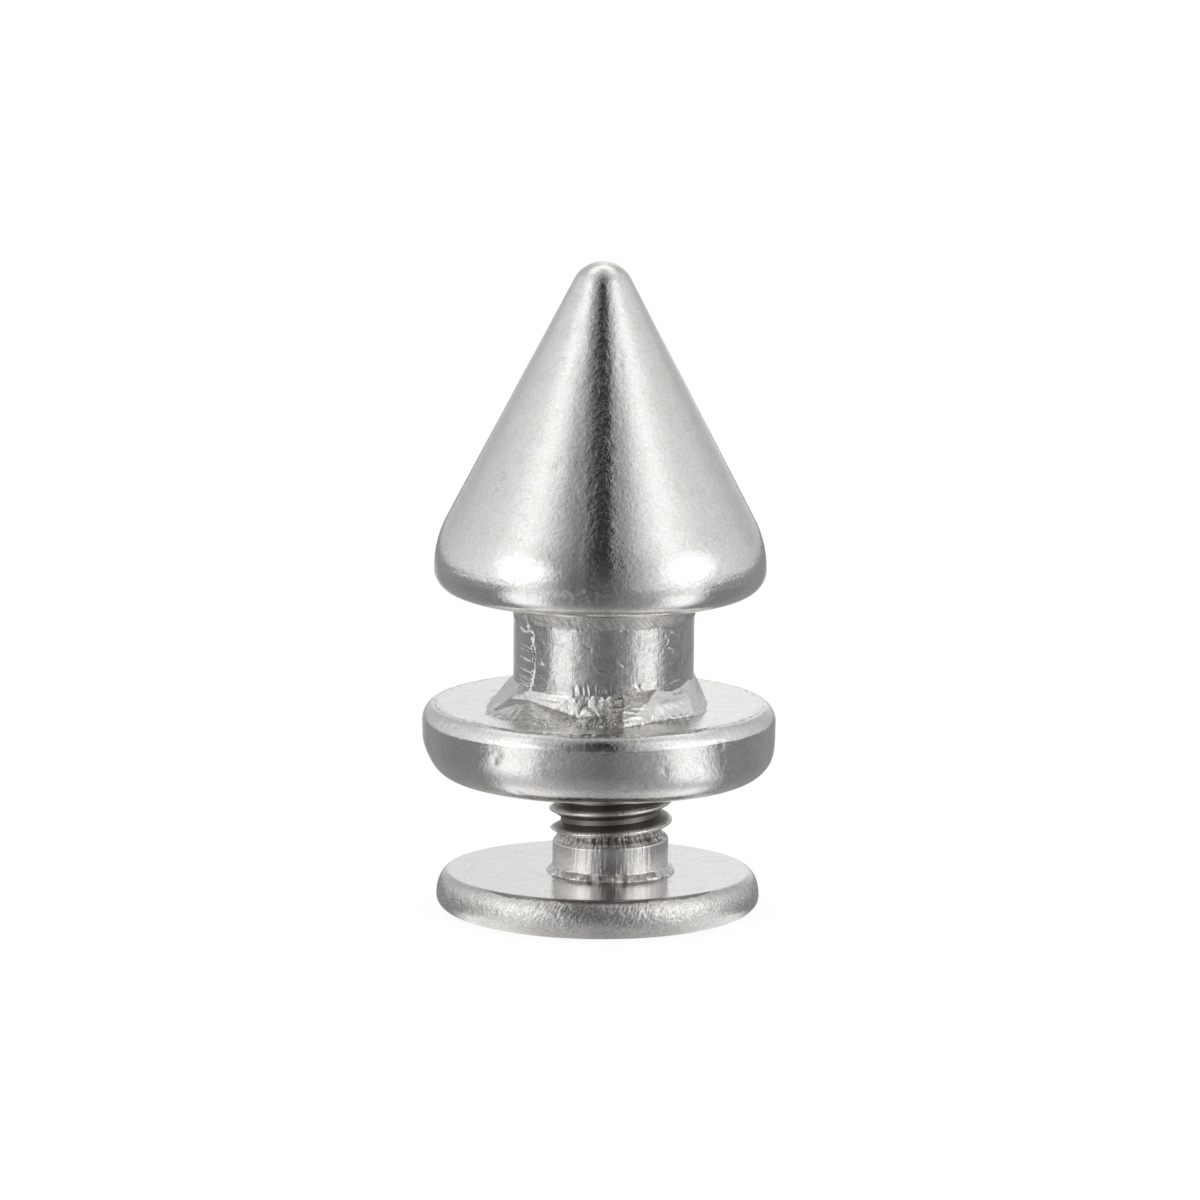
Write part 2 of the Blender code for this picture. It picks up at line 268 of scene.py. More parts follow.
floor_paper, tree, surface, coordinates = new_material("floor_paper")
place = add_node(tree, "ShaderNodeSeparateXYZ", Vector=coordinates)
reach = vector_maths(tree, "LENGTH", coordinates)
board_reach = vector_maths(tree, "DISTANCE", coordinates, BOARD_CENTRE)
near_share = angle_from_slit(tree, place, PLINTH_TURN)
near_glows = round_glow(tree, near_share, CONTACT_GLOW), round_glow(tree, near_share, PLINTH_GLOW)
beside = mixed(tree, smooth_step(tree, reach, *CONTACT_EDGE), *near_glows)
board_glow = round_glow(tree, angle_from_slit(tree, place, BOARD_TURN), BOARD_GLOW)
far_glow = round_glow(tree, angle_from_slit(tree, place, FAR_TURN), FAR_GLOW)
around = mixed(tree, smooth_step(tree, board_reach, *BOARD_EDGE), board_glow, far_glow)
mirrored = mixed(tree, smooth_step(tree, reach, *PLINTH_EDGE), beside, around)
paper = add_node(tree, "ShaderNodeBsdfDiffuse", Color=(PAPER_SHADE, PAPER_SHADE, PAPER_SHADE, 1.0))
seen = add_node(tree, "ShaderNodeEmission", Color=WHITE, Strength=PAPER_WHITE - PAPER_SHADE)
lit = add_node(tree, "ShaderNodeAddShader", _0=paper.outputs[0], _1=seen.outputs[0])
in_metal = add_node(tree, "ShaderNodeEmission", Color=mirrored, Strength=TENT_STRENGTH)
by_metal = tree.nodes.new("ShaderNodeLightPath").outputs["Is Glossy Ray"]
shown = add_node(tree, "ShaderNodeMixShader", _0=by_metal, _1=lit.outputs[0], _2=in_metal.outputs[0])
feed(tree, surface, shown.outputs[0])
form = bmesh.new()
bmesh.ops.create_circle(form, cap_ends=True, segments=FLOOR_SIDES, radius=FLOOR_RADIUS)
floor = placed("floor", form, floor_paper)

backdrop = bpy.data.worlds.new("white_backdrop")
bpy.context.scene.world = backdrop
backdrop.use_nodes = True
background = backdrop.node_tree.nodes["Background"]
background.inputs["Color"].default_value = WHITE
background.inputs["Strength"].default_value = 1.0


# Spike cone
# The pointed front of the stud: die-cast zinc, tumbled until its edges are round, then nickel plated.
# The casting swells and sinks a little under the plating, and handling has left small dents in it.

CONE_BASE = 7.84 * MM
CONE_RADIUS = 4.0 * MM
CONE_HEIGHT = 8.03 * MM
TIP_RADIUS = 0.77 * MM
SHOULDER_ROUND = 2.6 * MM
RIM_ROUND = 0.56 * MM
HOLE_RADIUS = 1.53 * MM
HOLE_TOP = 8.65 * MM
DRILL_POINT = 0.92 * MM
BORE_END = HOLE_TOP + DRILL_POINT
BORE_OFFSET = 0.3 * MM  # the bore is drilled off the stud's axis, and the screw stands off it with it
LEAN_REACH = 3.2 * MM  # out to here the inner faces shift with the bore
SKIN_MARGIN = 0.05 * MM  # nearer to the bore than this is no outer skin
HAIR = 0.01 * MM  # past a limit, to take in the points on it
FANS = 16  # one fan of a turned form is spun, and the rest are its copies
WELD_GAP = 1e-8
HIDDEN_ROW = 0.3 * MM  # between points on faces that don't show
CONE_SIDES = 400
CONE_ROW = 0.075 * MM
SWELL_SIZE = 1.3 * MM
SWELL_DEPTH = 0.010 * MM
RIPPLE_SIZE = 0.45 * MM
RIPPLE_DEPTH = 0.0028 * MM
PLATING_TINT = (0.82, 0.812, 0.795)
STAIN_SHARES = (0.95, 0.945, 0.935)
# Colour of the grime and of the painted shade, as shares of the tint
GRIME_AND_SHADE_SHARES = (0.50, 0.485, 0.465)
SCRATCH_DEPTH = 0.0008 * MM
SCRATCH_GRIME = 0.3
SCRATCH_LINE = (0.022, 0.006)  # how near to the middle of the noise a scratch starts, and is full
SCRATCHED_PATCHES = (0.53, 0.63)
SPECK_SHARE = 0.4  # of the grain's height
STAIN_LEVELS = (0.38, 0.56)
PATCHY_LEVELS = (0.35, 0.65)
PATCHY_POLISH = (1.35, 0.75)
GRIME_AND_SHADE_ROUGHNESS = 0.2
WEAR_ROUGHNESS = 0.30
SHARP_ANGLE = math.radians(50)
# Dents that show from the front, as (angle round to the right of the lens, height, width, depth)
CONE_DENTS = (
    (14, 14.9, 0.06, 0.004), (19, 13.9, 0.05, 0.004), (-3, 13.15, 0.07, 0.004), (0, 12.9, 0.06, 0.004),
    (-2, 12.45, 0.06, 0.003), (5, 11.9, 0.05, 0.003), (-28, 12.2, 0.09, 0.003), (-31, 9.6, 0.14, 0.005),
    (24, 9.9, 0.12, 0.005), (33, 10.6, 0.10, 0.004), (-48, 9.0, 0.16, 0.006), (47, 8.8, 0.13, 0.006),
)
LOOSE_DENTS = 46
FADE_WIDTHS = 2.5  # from its middle, in its own widths, a dent or a mark has faded out
STRIP_PLACE = -0.03 * MM
STRIP_EDGES = (0.55 * MM, 0.22 * MM)  # off its middle, where it starts and where it is full
STRIP_FRONT = (0.0, -0.5 * MM)
STRIP_DEPTH = 0.013 * MM
DARK_PATCH_EDGE = (1.0, 0.35)
DARK_PATCH_MOTTLE = (0.36, 0.56)
DARK_PATCH_DULLING = 0.1


def arc(centre, radius, start, end, step=math.radians(4)):
    """Points round part of a circle, as (distance from the axis, height)."""
    steps = max(2, math.ceil(abs(end - start) / step))
    angles = (start + (end - start) * count / steps for count in range(steps + 1))
    return [(centre[0] + radius * math.cos(a), centre[1] + radius * math.sin(a)) for a in angles]


def filled_in(outline, step):
    """The outline with points added, so that no stretch of it is longer than a step."""
    points = [Vector(outline[0])]
    for given in outline[1:]:
        start = points[-1]
        stretch = Vector(given) - start
        count = max(1, math.ceil(stretch.length / step))
        points += [start + stretch * part / count for part in range(1, count + 1)]
    return points


def turned(outline, sides, pitch=0.0, turns=1):
    """A form whose outline goes round +Z, and climbs by a pitch in each turn if it is a thread.

    One fan of it is spun. The form is then copied beside itself, twice as wide each time, and joined.
    """
    form = bmesh.new()
    verts = [form.verts.new((distance, 0, height)) for distance, height in outline]
    edges = [form.edges.new(pair) for pair in zip(verts, verts[1:])]
    angle = math.tau / FANS
    climb = pitch / FANS
    bmesh.ops.spin(
        form, geom=verts + edges, cent=(0, 0, 0), axis=(0, 0, 1), dvec=(0, 0, pitch / sides), angle=angle,
        steps=sides // FANS, use_merge=False,
    )
    while angle < math.tau * turns:
        copies = bmesh.ops.duplicate(form, geom=form.verts[:] + form.edges[:] + form.faces[:])["geom"]
        copied = [item for item in copies if isinstance(item, bmesh.types.BMVert)]
        bmesh.ops.rotate(form, verts=copied, cent=(0, 0, 0), matrix=Matrix.Rotation(angle, 3, "Z"))
        bmesh.ops.translate(form, verts=copied, vec=(0, 0, climb))
        angle *= 2
        climb *= 2
    bmesh.ops.remove_doubles(form, verts=form.verts, dist=WELD_GAP)
    bmesh.ops.recalc_face_normals(form, faces=form.faces)
    return form


def side_step(value, low, high):
    """0 at low, 1 at high and a smooth climb between."""
    share = min(1.0, max(0.0, (value - low) / (high - low)))
    return share * share * (3 - 2 * share)


def lean_to_bore(form, inner, outer, own_offset=0.0):
    """Shifts all within the inner radius to where the bore is drilled, and less out to the outer one."""
    for vert in form.verts:
        if vert.co.z < BORE_END + HAIR:
            lean = side_step(vert.co.to_2d().length, outer, inner * 1.01)
            vert.co.x += own_offset + (BORE_OFFSET - own_offset) * lean


def sink(form, depth_at):
    """Moves each point of the outer skin inwards, square to the skin, by its own depth."""
    form.normal_update()
    moves = [
        (vert, vert.normal * depth_at(vert.co))
        for vert in form.verts
        if math.hypot(vert.co.x, vert.co.y) > HOLE_RADIUS + SKIN_MARGIN or vert.co.z > BORE_END
    ]
    for vert, move in moves:
        vert.co -= move


def swells(place):
    """How far a casting's skin lies below its true form."""
    swell = 0.5 + 0.5 * noise.noise(place / SWELL_SIZE)
    ripple = 0.5 + 0.5 * noise.noise(place / RIPPLE_SIZE)
    return SWELL_DEPTH * swell + RIPPLE_DEPTH * ripple


def skin_place(form, degrees, height):
    """The outermost point of a form at an angle round to the right of the lens and a height."""
    angle = math.radians(degrees)
    sideways = Vector((math.sin(angle), -math.cos(angle), 0))
    near = [
        vert.co for vert in form.verts
        if abs(vert.co.z - height) < 0.06 * MM and vert.co.dot(sideways) > 0.99 * vert.co.to_2d().length
    ]
    return max(near, key=lambda place: place.dot(sideways)).copy()


def loose_dents(heights, widths, depths):
    """Dents strewn all round a form, each an (angle, height, width, depth) drawn from these ranges."""
    return tuple(
        (chance.uniform(0, 360), chance.uniform(*heights), chance.uniform(*widths), chance.uniform(*depths))
        for count in range(LOOSE_DENTS)
    )


def press_dents(form, dents):
    """Presses shallow round dents into the skin, each an (angle, height, width, depth)."""
    places = [skin_place(form, dent[0], dent[1] * MM) for dent in dents]
    form.normal_update()
    form.verts.ensure_lookup_table()
    near = kdtree.KDTree(len(form.verts))
    for vert in form.verts:
        near.insert(vert.co, vert.index)
    near.balance()
    for place, dent in zip(places, dents):
        width = dent[2] * MM
        depth = dent[3] * MM
        for _, index, distance in near.find_range(place, width * FADE_WIDTHS):
            vert = form.verts[index]
            vert.co -= vert.normal * depth * math.exp(-((distance / width) ** 2))


def add_piece(name, form, material, body, node):
    """Turns a finished form into a piece that moves with a body and stands for its CAD node."""
    bmesh.ops.recalc_face_normals(form, faces=form.faces)
    piece = placed(name, form, material)
    piece.data.shade_smooth()
    piece.data.set_sharp_from_angle(angle=SHARP_ANGLE)
    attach(piece, body)
    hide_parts(node)


def mottling(tree, coordinates, **look):
    """Cloudy noise from 0 to 1."""
    return add_node(tree, "ShaderNodeTexNoise", Vector=coordinates, **look).outputs["Fac"]


def plated_metal(name, tint, polish, grain, speckle, relief=None, grime_and_shade_shares=GRIME_AND_SHADE_SHARES):
    """Bright plating with a satin grain, fine specks, faint stains and curling hairline scratches.

    The piece's own relief gives the height of its tool marks, the grime in them, any painted shade and where
    it is worn dull.
    """
    material, tree, surface, coordinates = new_material(name)
    stains = mottling(tree, coordinates, Scale=2600.0, Detail=5.0, Roughness=0.65)
    satin = mottling(tree, coordinates, Scale=8500.0, Detail=4.0, Roughness=0.60)
    curls = mottling(tree, coordinates, Scale=3600.0, Detail=1.0, Roughness=0.4, Distortion=0.7)
    patches = mottling(tree, coordinates, Scale=1900.0, Detail=2.0, Roughness=0.5)
    specks = mottling(tree, coordinates, Scale=14000.0, Detail=2.0, Roughness=0.75)
    off_line = maths(tree, "ABSOLUTE", maths(tree, "SUBTRACT", curls, 0.5))
    patch = smooth_step(tree, patches, *SCRATCHED_PATCHES)
    scratch = maths(tree, "MULTIPLY", smooth_step(tree, off_line, *SCRATCH_LINE), patch)
    height = maths(tree, "MULTIPLY", satin, grain)
    height = maths(tree, "MULTIPLY_ADD", specks, grain * SPECK_SHARE, height)
    height = maths(tree, "MULTIPLY_ADD", scratch, -SCRATCH_DEPTH, height)
    grime_and_shade = maths(tree, "MULTIPLY", scratch, SCRATCH_GRIME)
    stained = tuple(channel * share for channel, share in zip(tint, STAIN_SHARES))
    grime_and_shade_colour = (*(channel * share for channel, share in zip(tint, grime_and_shade_shares)), 1.0)
    clean = ramp(tree, stains, tuple(zip(STAIN_LEVELS, (stained, tint))))
    shade = maths(tree, "MULTIPLY_ADD", specks, speckle, 1 - speckle / 2)
    plating = add_node(tree, "ShaderNodeVectorMath", _0=clean, _3=shade)
    plating.operation = "SCALE"
    patchy = add_node(tree, "ShaderNodeMapRange", Value=stains)
    patchy.inputs["From Min"].default_value = PATCHY_LEVELS[0]
    patchy.inputs["From Max"].default_value = PATCHY_LEVELS[1]
    patchy.inputs["To Min"].default_value = polish * PATCHY_POLISH[0]
    patchy.inputs["To Max"].default_value = polish * PATCHY_POLISH[1]
    dullness = patchy.outputs["Result"]
    if relief:
        tool_marks, tool_grime_and_shade, worn = relief(tree, coordinates)
        height = maths(tree, "ADD", height, tool_marks)
        # The dark mask carries the grime in scratches and tool marks, and the painted shade that a relief
        # gives
        grime_and_shade = maths(tree, "MAXIMUM", grime_and_shade, tool_grime_and_shade)
        dullness = maths(tree, "MULTIPLY_ADD", worn, WEAR_ROUGHNESS, dullness)
    bump = add_node(tree, "ShaderNodeBump", Height=height, Distance=1.0)
    shader = add_node(
        tree, "ShaderNodeBsdfPrincipled", Metallic=1.0, Normal=bump.outputs["Normal"],
        Roughness=maths(tree, "MULTIPLY_ADD", grime_and_shade, GRIME_AND_SHADE_ROUGHNESS, dullness),
    )
    feed(tree, shader.inputs["Base Color"], mixed(tree, grime_and_shade, plating.outputs[0], grime_and_shade_colour))
    feed(tree, surface, shader.outputs["BSDF"])
    return material


def dark_patch(tree, coordinates, place, size):
    """How much a patch darkens the plating, from 1 in it to 0 round it. It is placed in millimetres."""
    to_smudge = vector_maths(tree, "SUBTRACT", coordinates, Vector(place) * MM)
    stretched = vector_maths(tree, "DIVIDE", to_smudge, Vector(size) * MM)
    inside = smooth_step(tree, vector_maths(tree, "LENGTH", stretched), *DARK_PATCH_EDGE)
    mottle = mottling(tree, coordinates, Scale=7500.0, Detail=5.0, Roughness=0.7)
    return maths(tree, "MULTIPLY", inside, smooth_step(tree, mottle, *DARK_PATCH_MOTTLE))


def cone_wear(tree, coordinates):
    """A crumpled strip of plating up the front of the cone, with a dark patch low on it."""
    place = add_node(tree, "ShaderNodeSeparateXYZ", Vector=coordinates)
    off_strip = maths(tree, "ABSOLUTE", maths(tree, "SUBTRACT", place.outputs["X"], STRIP_PLACE))
    in_front = smooth_step(tree, place.outputs["Y"], *STRIP_FRONT)
    strip = maths(tree, "MULTIPLY", smooth_step(tree, off_strip, *STRIP_EDGES), in_front)
    crumples = mottling(tree, coordinates, Scale=5200.0, Detail=4.0, Roughness=0.6)
    relief = maths(tree, "MULTIPLY", maths(tree, "MULTIPLY", crumples, strip), STRIP_DEPTH)
    # Darkens a patch of the plating low on the cone's front
    grime_and_shade = dark_patch(tree, coordinates, place=(-0.27, -3.8, 8.58), size=(1.00, 1.2, 0.50))
    return relief, grime_and_shade, maths(tree, "MULTIPLY", grime_and_shade, DARK_PATCH_DULLING)


tip = Vector((0, CONE_BASE + CONE_HEIGHT - TIP_RADIUS))
shoulder = Vector((CONE_RADIUS - SHOULDER_ROUND, CONE_BASE + RIM_ROUND))
between = tip - shoulder
flank = math.atan2(between.y, between.x) - math.acos((SHOULDER_ROUND - TIP_RADIUS) / between.length)
outline = arc(tip, TIP_RADIUS, math.pi / 2, flank)
outline += arc(shoulder, SHOULDER_ROUND, flank, 0)
outline += arc((CONE_RADIUS - RIM_ROUND, CONE_BASE + RIM_ROUND), RIM_ROUND, 0, -math.pi / 2)
outline = filled_in(outline, CONE_ROW)
bore = [(HOLE_RADIUS, CONE_BASE), (HOLE_RADIUS, HOLE_TOP), (0, BORE_END)]
outline += filled_in(bore, HIDDEN_ROW)
form = turned(outline, CONE_SIDES)
sink(form, swells)
chance = random.Random(3)
dents = loose_dents(heights=(8.1, 14.5), widths=(0.05, 0.13), depths=(0.003, 0.009))
press_dents(form, CONE_DENTS + dents)
lean_to_bore(form, HOLE_RADIUS, LEAN_REACH)
cone_plating = plated_metal(
    "cone_plating", PLATING_TINT, polish=0.09, grain=0.0055 * MM, speckle=0.48, relief=cone_wear
)
add_piece("spike_cone", form, cone_plating, "stud", "stud_body")


# Neck
# The neck stands up from the flange in the same casting. The trimming tool has scraped a ragged band round it
# under the cone, and a thin ridge of flash climbs its left side beside a ladder of short pressed marks.

NECK_RADIUS = 2.175 * MM
NECK_OFFSET = 0.1 * MM
FLANGE_TOP = 5.1 * MM
NECK_TOP = CONE_BASE + 0.1 * MM  # a little way into the cone
NECK_BOTTOM = FLANGE_TOP - 0.06 * MM  # and into the flange
NECK_SIDES = 640
NECK_ROW = 0.026 * MM
BAND_LOW = 7.27 * MM
BAND_RISE = 0.020 * MM
BAND_WANDER = 0.045 * MM
BAND_JAGS = 0.030 * MM
BAND_EDGE = 0.035 * MM
BAND_LIP = 0.012 * MM
BAND_LIP_WIDTH = 0.025 * MM
BAND_TEARS = 0.007 * MM
BAND_SCRATCHES = 0.018 * MM
# Painted shade under the cone: levels of the slanting strokes between which the band darkens further
BAND_SHADE_STREAKS = (0.56, 0.36)
BAND_WEAR = 0.6
# Marks on the neck: a line of points as (angle to the right of the lens, height), then its width and rise
NECK_MARKS = (
    (
        ((-51.8, 7.04), (-52.5, 6.77), (-50.3, 6.53), (-50.8, 6.16), (-52.8, 5.81), (-56.1, 5.40)),
        0.026, 0.040,
    ),
    (((-49.6, 7.02), (-49.8, 6.60), (-48.4, 6.16), (-50.2, 5.81)), 0.030, -0.014),
    (((-66.7, 7.07), (-60, 7.00), (-52.8, 7.06)), 0.024, 0.024),
    (((-58.5, 7.44), (-56.5, 7.22)), 0.070, -0.036), (((-52.8, 7.47), (-38.3, 7.38)), 0.028, 0.020),
    (((-68, 6.72), (-54, 6.69)), 0.034, -0.011), (((-67, 6.62), (-56, 6.60)), 0.022, -0.008),
    (((-68, 6.42), (-54, 6.38)), 0.034, -0.012), (((-67, 6.14), (-53, 6.10)), 0.030, -0.011),
    (((-68, 5.95), (-55, 5.90)), 0.028, -0.010), (((-67, 5.78), (-56, 5.74)), 0.030, -0.011),
    (((-69, 5.56), (-58, 5.53)), 0.026, -0.009), (((-72, 7.3), (-71, 5.9)), 0.020, -0.008),
    (((-18.8, 5.86), (-18.0, 5.70)), 0.020, -0.010), (((-16.3, 5.93), (-14.9, 5.70)), 0.022, 0.009),
    (((-13.4, 5.88), (-13.0, 5.72)), 0.018, -0.012), (((-10.9, 5.95), (-9.6, 5.68)), 0.022, -0.010),
    (((-8.9, 5.84), (-8.4, 5.74)), 0.020, 0.009), (((-5.7, 5.90), (-5.0, 5.66)), 0.022, -0.012),
    (((-3.3, 5.84), (-3.2, 5.74)), 0.018, -0.008), (((-0.4, 5.92), (0.9, 5.74)), 0.022, 0.008),
    (((2.2, 5.84), (2.8, 5.74)), 0.020, -0.009), (((5.0, 5.95), (5.5, 5.82)), 0.018, -0.008),
    (((28.2, 6.84), (30.4, 6.86), (30.2, 6.70), (28.6, 6.68)), 0.014, -0.010),
    (((67.2, 7.35), (68.2, 7.33)), 0.040, -0.040), (((61, 7.30), (64, 6.1)), 0.022, 0.008),
    (((66, 7.1), (67, 5.9)), 0.024, -0.009), (((58, 6.9), (59, 6.3)), 0.020, 0.007),
    (((12, 5.84), (18, 5.90), (22, 5.84), (27, 5.93), (31, 5.86), (36, 5.92)), 0.034, 0.009),
    (((42, 5.90), (47, 5.84), (56, 5.88)), 0.030, 0.005), (((22, 5.92), (24, 5.80)), 0.040, -0.012),
    (((42, 7.05), (45, 6.95), (44, 6.85)), 0.020, -0.010), (((48, 7.10), (51, 7.02)), 0.022, 0.010),
    (((46, 6.78), (50, 6.72), (49, 6.62)), 0.020, -0.009), (((54, 6.98), (56, 6.86)), 0.022, 0.009),
    (((-44, 6.5), (-42, 6.36)), 0.022, -0.008), (((-12, 6.9), (-8, 6.84), (-9, 6.74)), 0.024, -0.008),
    (((10, 6.5), (13, 6.42)), 0.024, -0.007), (((-4, 6.28), (1, 6.24)), 0.026, 0.006),
)
NECK_WAVES = 0.004 * MM
NECK_SCRATCHES = 0.0040 * MM
CLOUD_EDGE = (0.48, 0.66)
CLOUD_GRIME = 0.45


def peak(value, centre, width):
    """A smooth bump of height 1 about a centre."""
    return math.exp(-(((value - centre) / width) ** 2))


def waver(*place):
    """Smooth noise about 0."""
    return noise.noise(Vector(place))


def straight_stretches(marks, across_unit):
    """The straight stretches of drawn marks, each as (start, end, width, rise) in metres."""
    stretches = []
    for points, width, rise in marks:
        places = [Vector((across * across_unit, height * MM)) for across, height in points]
        stretches += [(start, end, width * MM, rise * MM) for start, end in zip(places, places[1:])]
    return stretches


def marked(place, stretches):
    """How far the strongest mark stands out at a place."""
    stand = 0.0
    for start, end, width, rise in stretches:
        margin = FADE_WIDTHS * width
        beside = min(start.x, end.x) - margin < place.x < max(start.x, end.x) + margin
        if beside and min(start.y, end.y) - margin < place.y < max(start.y, end.y) + margin:
            way = end - start
            share = min(1.0, max(0.0, (place - start).dot(way) / way.length_squared))
            here = rise * math.exp(-(((place - start - way * share).length / width) ** 2))
            if abs(here) > abs(stand):
                stand = here
    return stand


def unrolled(tree, coordinates, radius):
    """How far round the axis a point lies on a cylinder of a radius, from 0 in front, and how high."""
    place = add_node(tree, "ShaderNodeSeparateXYZ", Vector=coordinates)
    return maths(tree, "MULTIPLY", angle_round(tree, place), radius), place.outputs["Z"]


def strokes(tree, across, along, width, length, slant=0.0, detail=3.0):
    """Long soft-edged strokes of a width and a length, from 0 to 1, laid along one way or at a slant."""
    slanted = maths(tree, "MULTIPLY_ADD", along, slant, across)
    laid = add_node(
        tree, "ShaderNodeCombineXYZ",
        X=maths(tree, "DIVIDE", slanted, width), Y=maths(tree, "DIVIDE", along, length),
    )
    return mottling(tree, laid.outputs[0], Scale=1.0, Detail=detail, Roughness=0.6)


def neck_scratches(tree, coordinates):
    """Scratches: many and slanting in the scraped band, few and upright on the bare neck below it."""
    round_way, height = unrolled(tree, coordinates, NECK_RADIUS)
    slanted = strokes(tree, round_way, height, 0.040 * MM, 0.26 * MM, slant=1.1)
    upright = strokes(tree, round_way, height, 0.055 * MM, 0.40 * MM)
    in_band = smooth_step(tree, height, BAND_LOW - 0.02 * MM, BAND_LOW + 0.05 * MM)
    slanted_height = maths(tree, "MULTIPLY", maths(tree, "MULTIPLY", slanted, in_band), BAND_SCRATCHES)
    relief = maths(tree, "MULTIPLY_ADD", upright, NECK_SCRATCHES, slanted_height)
    clouds = mottling(tree, coordinates, Scale=3400.0, Detail=5.0, Roughness=0.75)
    cloudy = maths(tree, "MULTIPLY", smooth_step(tree, clouds, *CLOUD_EDGE), CLOUD_GRIME)
    # Painted shade under the cone darkens the scraped band all over, and more along its slanting strokes.
    # Cloudy patches darken the neck at random.
    grime_and_shade = maths(tree, "MULTIPLY_ADD", smooth_step(tree, slanted, *BAND_SHADE_STREAKS), 0.65, 0.25)
    grime_and_shade = maths(tree, "MAXIMUM", maths(tree, "MULTIPLY", grime_and_shade, in_band), cloudy)
    return relief, grime_and_shade, maths(tree, "MULTIPLY", in_band, BAND_WEAR)


outline = filled_in([(HOLE_RADIUS, NECK_TOP), (NECK_RADIUS, NECK_TOP)], HIDDEN_ROW)
outline += filled_in([(NECK_RADIUS, NECK_TOP), (NECK_RADIUS, NECK_BOTTOM)], NECK_ROW)[1:]
outline += filled_in([(NECK_RADIUS, NECK_BOTTOM), (HOLE_RADIUS, NECK_BOTTOM)], HIDDEN_ROW)[1:]
outline += filled_in([(HOLE_RADIUS, NECK_BOTTOM), (HOLE_RADIUS, NECK_TOP)], HIDDEN_ROW)[1:]
form = turned(outline, NECK_SIDES)
stretches = straight_stretches(NECK_MARKS, math.radians(1) * NECK_RADIUS)
for vert in form.verts:
    if vert.co.to_2d().length > NECK_RADIUS * 0.99:
        outwards = Vector((vert.co.x, vert.co.y, 0)).normalized()
        angle = math.atan2(outwards.x, -outwards.y)
        edge = BAND_LOW + BAND_WANDER * waver(angle * 9, 0.3, 0) + BAND_JAGS * waver(angle * 34, 5.3, 0)
        band = side_step(vert.co.z, edge, edge + BAND_EDGE)
        lip = peak(vert.co.z, edge, BAND_LIP_WIDTH) * (0.5 + waver(angle * 21, 9.1, 0))
        torn = waver(angle * 26 + vert.co.z * 4000, vert.co.z / (0.16 * MM), 1.4)
        reach = NECK_RADIUS + BAND_RISE * band + BAND_LIP * lip + BAND_TEARS * torn * band
        reach += marked(Vector((angle * NECK_RADIUS, vert.co.z)), stretches)
        reach += NECK_WAVES * noise.noise(vert.co / (0.22 * MM)) - swells(vert.co) * 0.8
        vert.co.x = outwards.x * reach
        vert.co.y = outwards.y * reach
lean_to_bore(form, HOLE_RADIUS, NECK_RADIUS * 0.97, NECK_OFFSET)
neck_plating = plated_metal(
    "neck_plating", PLATING_TINT, polish=0.085, grain=0.0090 * MM, speckle=0.50, relief=neck_scratches
)
add_piece("neck", form, neck_plating, "stud", "stud_body")


# Foot of the neck
# Where the neck meets the flange the metal spreads in rough flats, cut dull when the sprue was trimmed off.
# Folds fan out from a crease in front, and the flats end in a torn edge on the flange.

# Corners of the flats, going round: where they leave the neck (angle to the right of the lens, height), where
# they break (angle, distance from the neck's axis, height) and where they meet the flange (angle, distance)
FOOT_CORNERS = (
    ((-88, 5.77), (-84, 2.46, 5.45), (-81, 2.80)), ((-66, 5.72), (-63, 2.56, 5.40), (-61, 3.20)),
    ((-54, 5.65), (-51, 2.32, 5.42), (-39.7, 3.43)), ((-36, 5.67), (-33.8, 2.34, 5.34), (-26, 3.32)),
    ((-19, 5.69), (-14.4, 2.34, 5.16), (-13, 3.14)), ((-6, 5.70), (-3.6, 2.60, 5.28), (-3, 3.18)),
    ((3, 5.72), (2.5, 2.55, 5.38), (2, 3.08)), ((12, 5.74), (10, 2.74, 5.46), (9, 3.12)),
    ((24, 5.76), (21, 2.62, 5.48), (17, 2.92)), ((37, 5.76), (31, 2.45, 5.45), (24, 2.70)),
    ((62, 5.76), (58, 2.44, 5.45), (54.5, 2.71)), ((70, 5.84), (68, 2.42, 5.48), (66.4, 2.67)),
    ((95, 5.84), (95, 2.34, 5.50), (95, 2.50)), ((135, 5.80), (135, 2.42, 5.45), (135, 2.65)),
    ((178, 5.80), (178, 2.44, 5.42), (178, 2.90)), ((-140, 5.75), (-140, 2.46, 5.42), (-138, 2.90)),
    ((-110, 5.76), (-108, 2.46, 5.44), (-104, 2.70)),
)
FOOT_SIDES = 800
FOOT_ROW = 0.025 * MM
FOOT_INSIDE = 1.98 * MM
FOOT_LINE = (Vector((2.0 * MM, 6.08 * MM)), Vector((3.75 * MM, 4.86 * MM)))
FOOT_INTO_NECK = (0.35 * MM, 0.25 * MM)  # how far the flats run on inwards and up
FOOT_INTO_FLANGE = (1.60 * MM, 0.30 * MM)  # and outwards and down
FOOT_WALL_TOP = FLANGE_TOP + 0.5 * MM
FOOT_WALL_BOTTOM = FLANGE_TOP - 0.3 * MM
